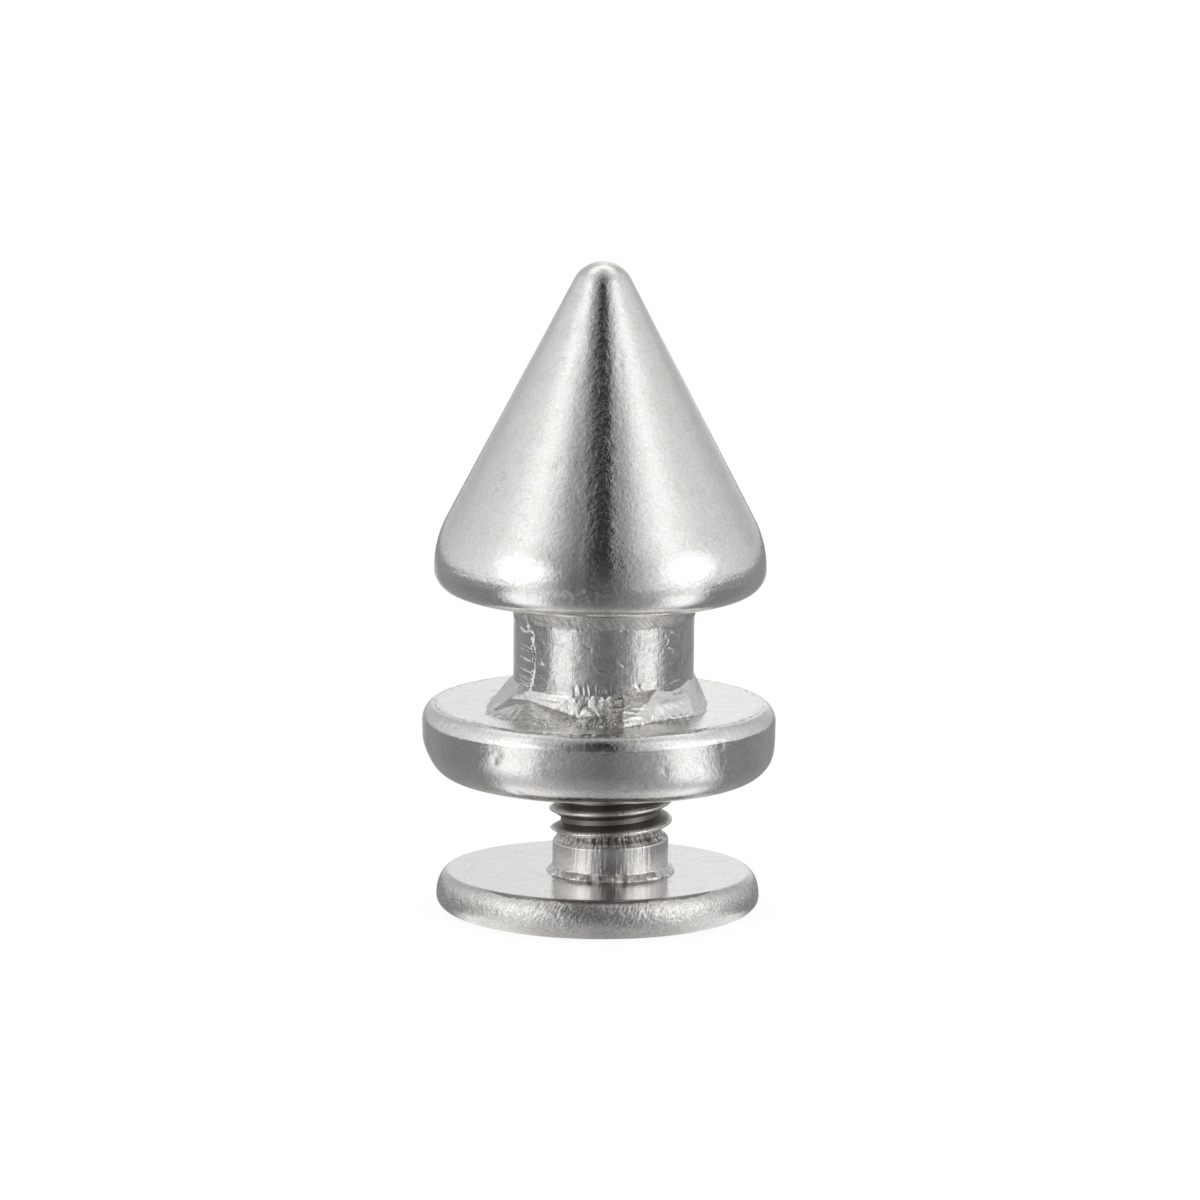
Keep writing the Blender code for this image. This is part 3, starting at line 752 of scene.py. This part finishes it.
# Folds and cracks seen from the front: points as (right of the neck's axis, height as seen), width, rise
FOOT_MARKS = (
    (((0.04, 5.20), (0.00, 4.96), (0.07, 4.72), (0.04, 4.48)), 0.095, -0.085),
    (((-0.34, 5.01), (-0.10, 4.77), (-0.20, 4.52)), 0.055, -0.045),
    (((-0.39, 4.62), (-0.10, 4.87)), 0.026, 0.014), (((-0.44, 4.77), (-0.20, 5.01)), 0.026, 0.012),
    (((-0.30, 4.56), (-0.05, 4.72)), 0.024, 0.014), (((-0.50, 4.86), (-0.36, 4.99)), 0.024, 0.012),
    (((0.19, 5.09), (0.40, 5.18), (0.70, 5.20), (0.98, 5.25)), 0.026, 0.016),
    (((0.19, 4.94), (0.45, 4.97), (0.66, 5.08), (1.02, 5.07)), 0.030, 0.020),
    (((0.22, 4.82), (0.52, 4.90), (0.80, 4.86)), 0.024, 0.016), (((0.66, 4.95), (1.05, 4.93)), 0.026, -0.014),
    (((0.19, 4.67), (0.50, 4.70), (0.72, 4.77), (1.08, 4.74)), 0.028, 0.018),
    (((0.26, 4.53), (0.60, 4.56), (0.78, 4.62)), 0.024, 0.016), (((0.84, 4.60), (1.10, 4.64)), 0.022, 0.012),
    (((1.02, 5.34), (1.17, 5.42)), 0.100, 0.030), (((0.62, 5.45), (0.90, 5.50), (1.40, 5.52)), 0.040, 0.014),
    (((-2.07, 4.89), (-2.21, 4.70), (-2.41, 4.65)), 0.022, -0.030),
    (((-1.70, 5.36), (-1.30, 5.30), (-0.74, 5.26)), 0.026, 0.020),
    (((-1.60, 5.22), (-1.32, 5.16), (-1.10, 5.12)), 0.022, -0.016),
)
# Depth and size of the unevenness of the flats, then of the folds in front and of the torn edge below
FOOT_WAVES = ((0.006 * MM, 0.13 * MM), (0.003 * MM, 0.045 * MM))
FOLD_DEPTH = 0.012 * MM
FOLD_PLACE = 0.1 * MM
FOLD_SPREAD = 0.55 * MM
FOLDS_BEHIND = 0.3
TEAR_DEPTH = 0.030 * MM
TEAR_HEIGHT = FLANGE_TOP + 0.03 * MM
TEAR_SPREAD = 0.05 * MM
TEAR_SIZE = 0.07 * MM
FOOT_STROKE_DEPTH = 0.006 * MM


def foot_flats():
    """The flats of the foot: rings of corners bridged by plain faces, run on into the neck and the flange."""
    inwards, up = FOOT_INTO_NECK
    outwards, down = FOOT_INTO_FLANGE
    columns = [
        (
            (leaving, NECK_RADIUS - inwards, top * MM + up),
            (leaving, NECK_RADIUS - HAIR, top * MM),
            (breaking, reach * MM, height * MM),
            (meeting, end * MM, FLANGE_TOP),
            (meeting, end * MM + outwards, FLANGE_TOP - down),
        )
        for (leaving, top), (breaking, reach, height), (meeting, end) in FOOT_CORNERS
    ]
    form = bmesh.new()
    rings = []
    for corners in zip(*columns):
        ring = []
        for degrees, reach, height in corners:
            angle = math.radians(degrees)
            ring.append(form.verts.new((math.sin(angle) * reach, -math.cos(angle) * reach, height)))
        rings.append([form.edges.new(pair) for pair in zip(ring, ring[1:] + ring[:1])])
    for upper, lower in zip(rings, rings[1:]):
        bmesh.ops.bridge_loops(form, edges=upper + lower)
    return form


flats_form = foot_flats()
flats = bvhtree.BVHTree.FromBMesh(flats_form)
flats_form.free()
line_way = (FOOT_LINE[1] - FOOT_LINE[0]).normalized()
out_of_line = Vector((-line_way.y, line_way.x))
form = turned(filled_in(FOOT_LINE, FOOT_ROW), FOOT_SIDES)
for vert in form.verts:
    outwards = Vector((vert.co.x, vert.co.y, 0)).normalized()
    square = outwards * out_of_line.x + Vector((0, 0, out_of_line.y))
    flat = flats.ray_cast(vert.co + square * 1.5 * MM, -square)[0]
    if flat is not None:
        vert.co = flat
bmesh.ops.smooth_vert(
    form, verts=[vert for vert in form.verts if not vert.is_boundary], factor=0.5,
    use_axis_x=True, use_axis_y=True, use_axis_z=True,
)
form.normal_update()
stretches = straight_stretches(FOOT_MARKS, MM)
moves = []
for vert in form.verts:
    stand = sum(depth * noise.noise(vert.co / size) for depth, size in FOOT_WAVES)
    folds = peak(vert.co.x, FOLD_PLACE, FOLD_SPREAD) if vert.co.y < 0 else FOLDS_BEHIND
    edge = peak(vert.co.z, TEAR_HEIGHT, TEAR_SPREAD)
    stand += (FOLD_DEPTH * folds + TEAR_DEPTH * edge) * noise.noise(vert.co / TEAR_SIZE)
    if vert.co.y < 0:
        seen_height = vert.co.z + vert.co.y * math.tan(CAMERA_ELEVATION)
        stand += marked(Vector((vert.co.x, seen_height)), stretches)
    moves.append((vert, vert.normal * stand))
upwards = 1 if sum(vert.normal.z for vert in form.verts) > 0 else -1
for vert, move in moves:
    vert.co += move * upwards
lowest = [edge for edge in form.edges if edge.is_boundary and edge.verts[0].co.z < FLANGE_TOP]
highest = [edge for edge in form.edges if edge.is_boundary and edge.verts[0].co.z > FLANGE_TOP]
for ring, height in ((lowest, FOOT_WALL_BOTTOM), (highest, FOOT_WALL_TOP)):
    wall = bmesh.ops.extrude_edge_only(form, edges=ring)["geom"]
    for item in wall:
        if isinstance(item, bmesh.types.BMVert):
            item.co = item.co.to_2d().normalized().to_3d() * FOOT_INSIDE + Vector((0, 0, height))
bmesh.ops.bridge_loops(form, edges=[edge for edge in form.edges if edge.is_boundary])
bmesh.ops.translate(form, verts=form.verts, vec=(NECK_OFFSET, 0, 0))


def foot_strokes(tree, coordinates):
    """Fine strokes of the trimming tool down the flats, with painted shade in the crease where the folds
    crowd together.
    """
    slanted = strokes(tree, *unrolled(tree, coordinates, NECK_RADIUS), 0.035 * MM, 0.30 * MM, slant=0.9)
    grime_and_shade = maths(tree, "MULTIPLY", smooth_step(tree, slanted, 0.42, 0.28), 0.4)
    # Painted shade darkens the crease in front, where the folds crowd together
    painted_dark = dark_patch(tree, coordinates, place=(0.14, -2.95, 5.28), size=(0.52, 0.9, 0.42))
    grime_and_shade = maths(tree, "MAXIMUM", grime_and_shade, painted_dark)
    return maths(tree, "MULTIPLY", slanted, FOOT_STROKE_DEPTH), grime_and_shade, 0.0


foot_plating = plated_metal(
    "foot_plating", PLATING_TINT, polish=0.17, grain=0.008 * MM, speckle=0.40, relief=foot_strokes
)
add_piece("neck_foot", form, foot_plating, "stud", "stud_body")


# Flange
# The round disc that bears on the leather, cast in one with the neck. A faint step runs round its side where
# the two halves of the die met, its underside is softly rounded, and its bore is tapped for the screw.

FLANGE_BOTTOM = 3.3 * MM
FLANGE_RADIUS = 4.262 * MM
FLANGE_TOP_ROUND = 0.36 * MM
FLANGE_WIDEST = 4.64 * MM
FLANGE_UNDER_ROUND = 1.0 * MM
FLANGE_FULLNESS = 2.6  # 2 would make the round under it part of an ellipse
FLANGE_LEAN = 0.05 * MM
FLANGE_LEAN_HEIGHTS = (4.3 * MM, 3.7 * MM)
FLANGE_FLAT = 2.1 * MM  # the neck's foot covers its top out to here
MOUTH_RADIUS = 1.73 * MM
MOUTH_CHAMFER = 0.2 * MM
UNDER_STEPS = 30
FLANGE_SIDES = 480
FLANGE_ROW = 0.045 * MM
STEP_HEIGHT = 4.66 * MM
STEP_DEPTH = 0.009 * MM
STEP_WANDER = (0.02 * MM, 0.05 * MM)  # finely, and once round
STEP_FLASH_WIDTH = 0.022 * MM
LIP_RADIUS = 3.98 * MM
LIP_DEPTH = 0.010 * MM
LIP_WIDTH = 0.035 * MM
TOP_PITS = 0.002 * MM
TOP_TEARS = 0.05 * MM
# Dents on the side and the top edge, as (angle to the right of the lens, height, width, depth)
FLANGE_DENTS = (
    (-64, 4.95, 0.07, 0.020), (-61, 4.92, 0.06, 0.018), (-56, 4.98, 0.08, 0.020), (-36, 4.30, 0.10, 0.012),
    (-48, 3.62, 0.10, 0.015), (-30, 3.52, 0.12, 0.015), (22, 4.20, 0.09, 0.010), (48, 3.80, 0.10, 0.014),
    (63, 4.55, 0.08, 0.010), (8, 3.75, 0.08, 0.010),
)


def flange_sinks(place):
    """Swells of the skin, with the die's step round the side and a lip at the top edge."""
    distance = math.hypot(place.x, place.y)
    depth = swells(place)
    if distance > 4.0 * MM:
        angle = math.atan2(place.x, -place.y)
        ragged = STEP_WANDER[0] * waver(angle * 14, 0, 0) + STEP_WANDER[1] * math.cos(angle - 0.4)
        over = place.z - STEP_HEIGHT - ragged
        depth += STEP_DEPTH * side_step(over, 0.0, -0.05 * MM) * side_step(over, -0.5 * MM, -0.2 * MM)
        depth += STEP_DEPTH * 0.8 * peak(over, -HAIR, STEP_FLASH_WIDTH)
    if place.z > FLANGE_TOP - 0.05 * MM:
        depth += LIP_DEPTH * peak(distance, LIP_RADIUS, LIP_WIDTH)
        coarse = noise.noise(place / (0.14 * MM))
        depth += TOP_PITS * (0.5 + 0.5 * coarse) * side_step(distance, 4.05 * MM, 3.9 * MM)
        depth -= swells(place) * 0.5
        torn = max(0.0, noise.noise(place / (0.09 * MM)) - 0.15) * peak(distance, 3.93 * MM, 0.12 * MM)
        depth += TOP_TEARS * torn
    return max(depth, 0.0)


outline = filled_in([(HOLE_RADIUS, FLANGE_TOP), (FLANGE_FLAT, FLANGE_TOP)], 0.2 * MM)
side = [(FLANGE_FLAT, FLANGE_TOP)]
side += [
    (FLANGE_RADIUS - FLANGE_TOP_ROUND * (1 - across), FLANGE_WIDEST + (FLANGE_TOP - FLANGE_WIDEST) * up)
    for across, up in arc((0, 0), 1, math.pi / 2, 0)
]
for count in range(1, UNDER_STEPS + 1):
    turn = math.pi / 2 * count / UNDER_STEPS
    across = max(0.0, math.cos(turn)) ** (2 / FLANGE_FULLNESS)
    down = math.sin(turn) ** (2 / FLANGE_FULLNESS)
    height = FLANGE_WIDEST - (FLANGE_WIDEST - FLANGE_BOTTOM) * down
    side.append((FLANGE_RADIUS - FLANGE_UNDER_ROUND * (1 - across), height))
outline += filled_in(side, FLANGE_ROW)[1:]
inside = [
    side[-1], (MOUTH_RADIUS, FLANGE_BOTTOM), (HOLE_RADIUS, FLANGE_BOTTOM + MOUTH_CHAMFER),
    (HOLE_RADIUS, FLANGE_TOP),
]
outline += filled_in(inside, 0.12 * MM)[1:]
form = turned(outline, FLANGE_SIDES)
sink(form, flange_sinks)
for vert in form.verts:
    if vert.co.to_2d().length > 3 * MM:
        vert.co.x += FLANGE_LEAN * side_step(vert.co.z, *FLANGE_LEAN_HEIGHTS)
dents = loose_dents(heights=(3.5, 4.9), widths=(0.04, 0.10), depths=(0.004, 0.010))
press_dents(form, FLANGE_DENTS + dents)
lean_to_bore(form, MOUTH_RADIUS, LEAN_REACH)
flange_plating = plated_metal(
    "flange_plating", PLATING_TINT, polish=0.11, grain=0.0075 * MM, speckle=0.55
)
add_piece("flange_disc", form, flange_plating, "stud", "stud_body")


# Head of the back screw
# A thin steel disc, headed and turned, then nickel plated. It lies under the work, with a driver slot in its
# underside, and its side keeps the short slanting strokes of the tumbling.

HEAD_RADIUS = 3.885 * MM
HEAD_THICKNESS = 1.0 * MM
HEAD_TOP_ROUND = 0.3 * MM
HEAD_WIDEST = 0.40 * MM
HEAD_UNDER_ROUND = 0.58 * MM
HEAD_FLAT = 1.1 * MM  # the collar covers its top out to here
SLOT_LENGTH = 5.2 * MM
SLOT_WIDTH = 1.0 * MM
SLOT_DEPTH = 0.5 * MM
SLOT_MARGIN = 1e-7
HEAD_SIDES = 480
HEAD_ROW = 0.045 * MM
HEAD_TINT = (0.735, 0.724, 0.705)
HEAD_STROKES = 0.020 * MM
HEAD_BLOTCHES = 0.022 * MM


def head_strokes(tree, coordinates):
    """Short strokes and blotches round the side of the head, with a painted dark reflection at its front."""
    round_way, height = unrolled(tree, coordinates, HEAD_RADIUS)
    slanted = strokes(tree, round_way, height, 0.075 * MM, 0.15 * MM, slant=-0.45, detail=5.0)
    blotches = mottling(tree, coordinates, Scale=4200.0, Detail=3.0, Roughness=0.6)
    on_side = smooth_step(tree, height, HEAD_THICKNESS - 0.02 * MM, HEAD_THICKNESS - 0.14 * MM)
    relief = maths(tree, "MULTIPLY", maths(tree, "MULTIPLY", slanted, on_side), HEAD_STROKES)
    blotched = maths(tree, "MULTIPLY", blotches, on_side)
    relief = maths(tree, "MULTIPLY_ADD", blotched, HEAD_BLOTCHES, relief)
    grime_and_shade = maths(tree, "MULTIPLY", smooth_step(tree, slanted, 0.46, 0.32), on_side)
    worn = maths(tree, "MULTIPLY", smooth_step(tree, blotches, 0.50, 0.62), on_side)
    # Painted shade: a dark reflection painted on the front of the head's side
    painted_dark = dark_patch(tree, coordinates, place=(-0.48, -3.8, 0.80), size=(0.70, 1.2, 0.26))
    painted_dark = maths(tree, "MULTIPLY", painted_dark, 0.9)
    grime_and_shade = maths(tree, "MAXIMUM", maths(tree, "MULTIPLY", grime_and_shade, 0.45), painted_dark)
    return relief, grime_and_shade, maths(tree, "MULTIPLY", worn, 0.4)


outline = filled_in([(0, HEAD_THICKNESS), (HEAD_FLAT, HEAD_THICKNESS)], HIDDEN_ROW)
side = [(HEAD_FLAT, HEAD_THICKNESS)]
side += [
    (HEAD_RADIUS - HEAD_TOP_ROUND * (1 - across), HEAD_WIDEST + (HEAD_THICKNESS - HEAD_WIDEST) * up)
    for across, up in arc((0, 0), 1, math.pi / 2, 0)
]
side += [
    (HEAD_RADIUS - HEAD_UNDER_ROUND * (1 - across), HEAD_WIDEST * (1 + down))
    for across, down in arc((0, 0), 1, 0, -math.pi / 2)
]
outline += filled_in(side, HEAD_ROW)[1:]
form = turned(outline, HEAD_SIDES)

rim = [edge for edge in form.edges if edge.is_boundary]
end = (SLOT_LENGTH - SLOT_WIDTH) / 2
slot_outline = arc((end, 0), SLOT_WIDTH / 2, -math.pi / 2, math.pi / 2)
slot_outline += arc((-end, 0), SLOT_WIDTH / 2, math.pi / 2, math.pi * 3 / 2)
slot_verts = [form.verts.new((x, y, 0)) for x, y in slot_outline]
slot_edges = [form.edges.new(pair) for pair in zip(slot_verts, slot_verts[1:] + slot_verts[:1])]
bmesh.ops.triangle_fill(form, edges=rim + slot_edges, use_beauty=True, use_dissolve=False)
in_slot = [
    face for face in form.faces
    if all(vert.co.z < SLOT_MARGIN and abs(vert.co.y) < SLOT_WIDTH / 2 + SLOT_MARGIN for vert in face.verts)
    and all(abs(vert.co.x) < SLOT_LENGTH / 2 + SLOT_MARGIN for vert in face.verts)
]
bmesh.ops.delete(form, geom=in_slot, context="FACES_ONLY")
wall = bmesh.ops.extrude_edge_only(form, edges=slot_edges)["geom"]
raised = [item for item in wall if isinstance(item, bmesh.types.BMVert)]
bmesh.ops.translate(form, verts=raised, vec=(0, 0, SLOT_DEPTH))
slot_floor = [
    item for item in wall
    if isinstance(item, bmesh.types.BMEdge) and all(vert in raised for vert in item.verts)
]
bmesh.ops.contextual_create(form, geom=slot_floor)
bmesh.ops.recalc_face_normals(form, faces=form.faces)


def head_sinks(place):
    """Slight unevenness of the turned head, kept off its flat underside and slot."""
    under = math.hypot(place.x, place.y) < SLOT_LENGTH / 2 + 0.1 * MM and place.z < SLOT_DEPTH + 0.1 * MM
    return 0.0 if under or place.z < 0.02 * MM else swells(place) * 0.6


sink(form, head_sinks)
press_dents(form, loose_dents(heights=(0.15, 0.9), widths=(0.04, 0.10), depths=(0.003, 0.010)))
head_plating = plated_metal(
    "head_plating", HEAD_TINT, polish=0.10, grain=0.0055 * MM, speckle=0.85, relief=head_strokes
)
add_piece("screw_head", form, head_plating, "screw", "back_screw")


# Shank of the back screw
# Steel of one piece with the head. A plain collar rises from the head with a torn burr round its foot. The
# rolled thread winds up from the collar's shoulder, fading in over its first turn. It stands off centre.

SHANK_OFFSET = 0.3 * MM
COLLAR_RADIUS = 1.395 * MM
COLLAR_TOP = 1.67 * MM
COLLAR_LIFT = (0.07 * MM, 0.16 * MM)  # how much higher its edge stands to the left and to the right
SHOULDER_HEIGHT = 0.36 * MM
BURR_RADIUS = 1.525 * MM
BURR_HEIGHT = 0.15 * MM
THREAD_RADIUS = 1.48 * MM
THREAD_PITCH = 0.5 * MM
THREAD_ANGLE = math.radians(60)
CREST_WIDTH = 0.06 * MM
ROOT_WIDTH = 0.12 * MM
LOWEST_CREST = 0.59 * MM
RUN_OUT_START = 0.20 * MM
RUN_OUT_SLOPE = 1.4
SHANK_TOP = 6.0 * MM
POINT_CHAMFER = 0.35 * MM
THREAD_SIDES = 192
THREAD_TURNS = 16
ROOT_EASE = 0.05 * MM
CREST_EASE = 0.02 * MM
CREST_ROUND = 0.012 * MM
SHOULDER_STEP = 0.012 * MM
BURR_TEARS = 0.050 * MM
BURR_WAVES = 0.035 * MM
DRAG_DEPTH = 0.008 * MM
CHIP_DEPTH = 0.028 * MM
COLLAR_SIDES = 320
SHANK_TINT = (0.78, 0.765, 0.748)
# Colour of the painted shade in the thread's groove, as shares of the tint
GROOVE_SHADE_SHARES = (0.36, 0.345, 0.325)

flank_rise = (THREAD_PITCH - CREST_WIDTH - ROOT_WIDTH) / 2
half_slope = math.tan(THREAD_ANGLE / 2)
root_radius = THREAD_RADIUS - flank_rise / half_slope


def shank_strokes(tree, coordinates):
    """Upright drag lines on the collar, and painted shade in the groove of the thread."""
    round_way, height = unrolled(tree, coordinates, COLLAR_RADIUS)
    drags = strokes(tree, round_way, height, 0.060 * MM, 0.40 * MM)
    relief = maths(tree, "MULTIPLY", drags, DRAG_DEPTH)
    from_axis = vector_maths(tree, "SUBTRACT", coordinates, (SHANK_OFFSET, 0, 0))
    distance = vector_maths(tree, "LENGTH", vector_maths(tree, "MULTIPLY", from_axis, (1, 1, 0)))
    in_groove = smooth_step(tree, distance, THREAD_RADIUS - 0.02 * MM, THREAD_RADIUS - 0.12 * MM)
    on_thread = smooth_step(tree, height, COLLAR_TOP + 0.10 * MM, COLLAR_TOP + 0.22 * MM)
    above_shoulder = smooth_step(tree, height, COLLAR_TOP + 0.30 * MM, COLLAR_TOP + 0.50 * MM)
    between_drags = maths(tree, "MAXIMUM", smooth_step(tree, drags, 0.62, 0.40), above_shoulder)
    # Painted shade in the groove of the thread, only between the drag lines near the shoulder
    grime_and_shade = maths(tree, "MULTIPLY", maths(tree, "MULTIPLY", in_groove, on_thread), between_drags)
    return relief, grime_and_shade, maths(tree, "SUBTRACT", 0.3, maths(tree, "MULTIPLY", on_thread, 0.3))


# Thread: one pitch of its outline climbs as it is spun, and its turns are joined
crest = COLLAR_TOP + LOWEST_CREST
start = crest - flank_rise - CREST_WIDTH / 2 - 3 * THREAD_PITCH
crest_end = start + flank_rise + CREST_WIDTH
outline = [
    (root_radius, start),
    (root_radius + ROOT_EASE, start + ROOT_EASE * half_slope),
    (THREAD_RADIUS - CREST_EASE, start + flank_rise - CREST_EASE * half_slope),
    (THREAD_RADIUS, start + flank_rise + CREST_ROUND),
    (THREAD_RADIUS, crest_end - CREST_ROUND),
    (THREAD_RADIUS - CREST_EASE, crest_end + CREST_EASE * half_slope),
    (root_radius + ROOT_EASE, crest_end + flank_rise - ROOT_EASE * half_slope),
    (root_radius, crest_end + flank_rise),
    (root_radius, start + THREAD_PITCH),
]
form = turned(filled_in(outline, 0.05 * MM), THREAD_SIDES, THREAD_PITCH, THREAD_TURNS)
for height, upward in ((COLLAR_TOP - 0.1 * MM, -1), (SHANK_TOP, 1)):
    everything = form.verts[:] + form.edges[:] + form.faces[:]
    cut = bmesh.ops.bisect_plane(
        form, geom=everything, plane_co=(0, 0, height), plane_no=(0, 0, upward), clear_outer=True
    )
    ring = [item for item in cut["geom_cut"] if isinstance(item, bmesh.types.BMEdge)]
    bmesh.ops.edgeloop_fill(form, edges=ring)
for vert in form.verts:
    distance = math.hypot(vert.co.x, vert.co.y)
    fading_in = root_radius + max(0.0, vert.co.z - COLLAR_TOP - RUN_OUT_START) * RUN_OUT_SLOPE
    pointed = THREAD_RADIUS - POINT_CHAMFER + SHANK_TOP - vert.co.z
    scale = min(1.0, fading_in / distance, pointed / distance)
    uneven = 1 - 0.002 * (1 + noise.noise(vert.co / (0.12 * MM)))
    vert.co.x *= scale * uneven
    vert.co.y *= scale * uneven
bmesh.ops.recalc_face_normals(form, faces=form.faces)
bmesh.ops.translate(form, verts=form.verts, vec=(SHANK_OFFSET, 0, 0))
shank_plating = plated_metal(
    "shank_plating", SHANK_TINT, polish=0.13, grain=0.0070 * MM, speckle=0.40,
    relief=shank_strokes, grime_and_shade_shares=GROOVE_SHADE_SHARES,
)
add_piece("screw_thread", form, shank_plating, "screw", "back_screw")

# Collar with its sloping shoulder and its burr
shoulder = (root_radius + SHOULDER_STEP, COLLAR_TOP + SHOULDER_HEIGHT)
outline = filled_in([(0, shoulder[1]), shoulder], HIDDEN_ROW)
skirt = [
    shoulder, (COLLAR_RADIUS - 0.02 * MM, COLLAR_TOP + 0.02 * MM),
    (COLLAR_RADIUS, COLLAR_TOP - 0.02 * MM), (COLLAR_RADIUS, HEAD_THICKNESS + BURR_HEIGHT),
    (BURR_RADIUS, HEAD_THICKNESS), (BURR_RADIUS, HEAD_THICKNESS - 0.05 * MM),
]
outline += filled_in(skirt, 0.02 * MM)[1:]
outline += filled_in([skirt[-1], (0, HEAD_THICKNESS - 0.05 * MM)], HIDDEN_ROW)[1:]
form = turned(outline, COLLAR_SIDES)
for vert in form.verts:
    distance = math.hypot(vert.co.x, vert.co.y)
    if distance > shoulder[0] * 1.001:
        angle = math.atan2(vert.co.x, -vert.co.y)
        round_way = angle * COLLAR_RADIUS
        burr = side_step(vert.co.z, HEAD_THICKNESS + BURR_HEIGHT * 1.4, HEAD_THICKNESS + BURR_HEIGHT * 0.4)
        torn = waver(round_way / (0.17 * MM), vert.co.z / (0.30 * MM), 0)
        torn += 0.35 * waver(round_way / (0.07 * MM), vert.co.z / (0.12 * MM), 2.5)
        drag = waver(round_way / (0.055 * MM), vert.co.z / (0.6 * MM), 4)
        chips = CHIP_DEPTH * side_step(vert.co.z, COLLAR_TOP - 0.03 * MM, COLLAR_TOP + 0.05 * MM)
        reach = distance + burr * BURR_TEARS * torn - (DRAG_DEPTH + chips) * (1 + drag) * (1 - burr)
        if vert.co.z > HEAD_THICKNESS + HAIR:
            vert.co.z += BURR_WAVES * burr * waver(round_way / (0.24 * MM), 7, 0)
        upper = side_step(vert.co.z, HEAD_THICKNESS + BURR_HEIGHT * 2, COLLAR_TOP)
        lift = COLLAR_LIFT[0] + (COLLAR_LIFT[1] - COLLAR_LIFT[0]) * (0.5 + 0.5 * math.sin(angle))
        vert.co.z += upper * lift * side_step(vert.co.z, COLLAR_TOP + SHOULDER_HEIGHT, COLLAR_TOP)
        vert.co.x *= reach / distance
        vert.co.y *= reach / distance
bmesh.ops.translate(form, verts=form.verts, vec=(SHANK_OFFSET, 0, 0))
add_piece("screw_collar", form, shank_plating, "screw", "back_screw")
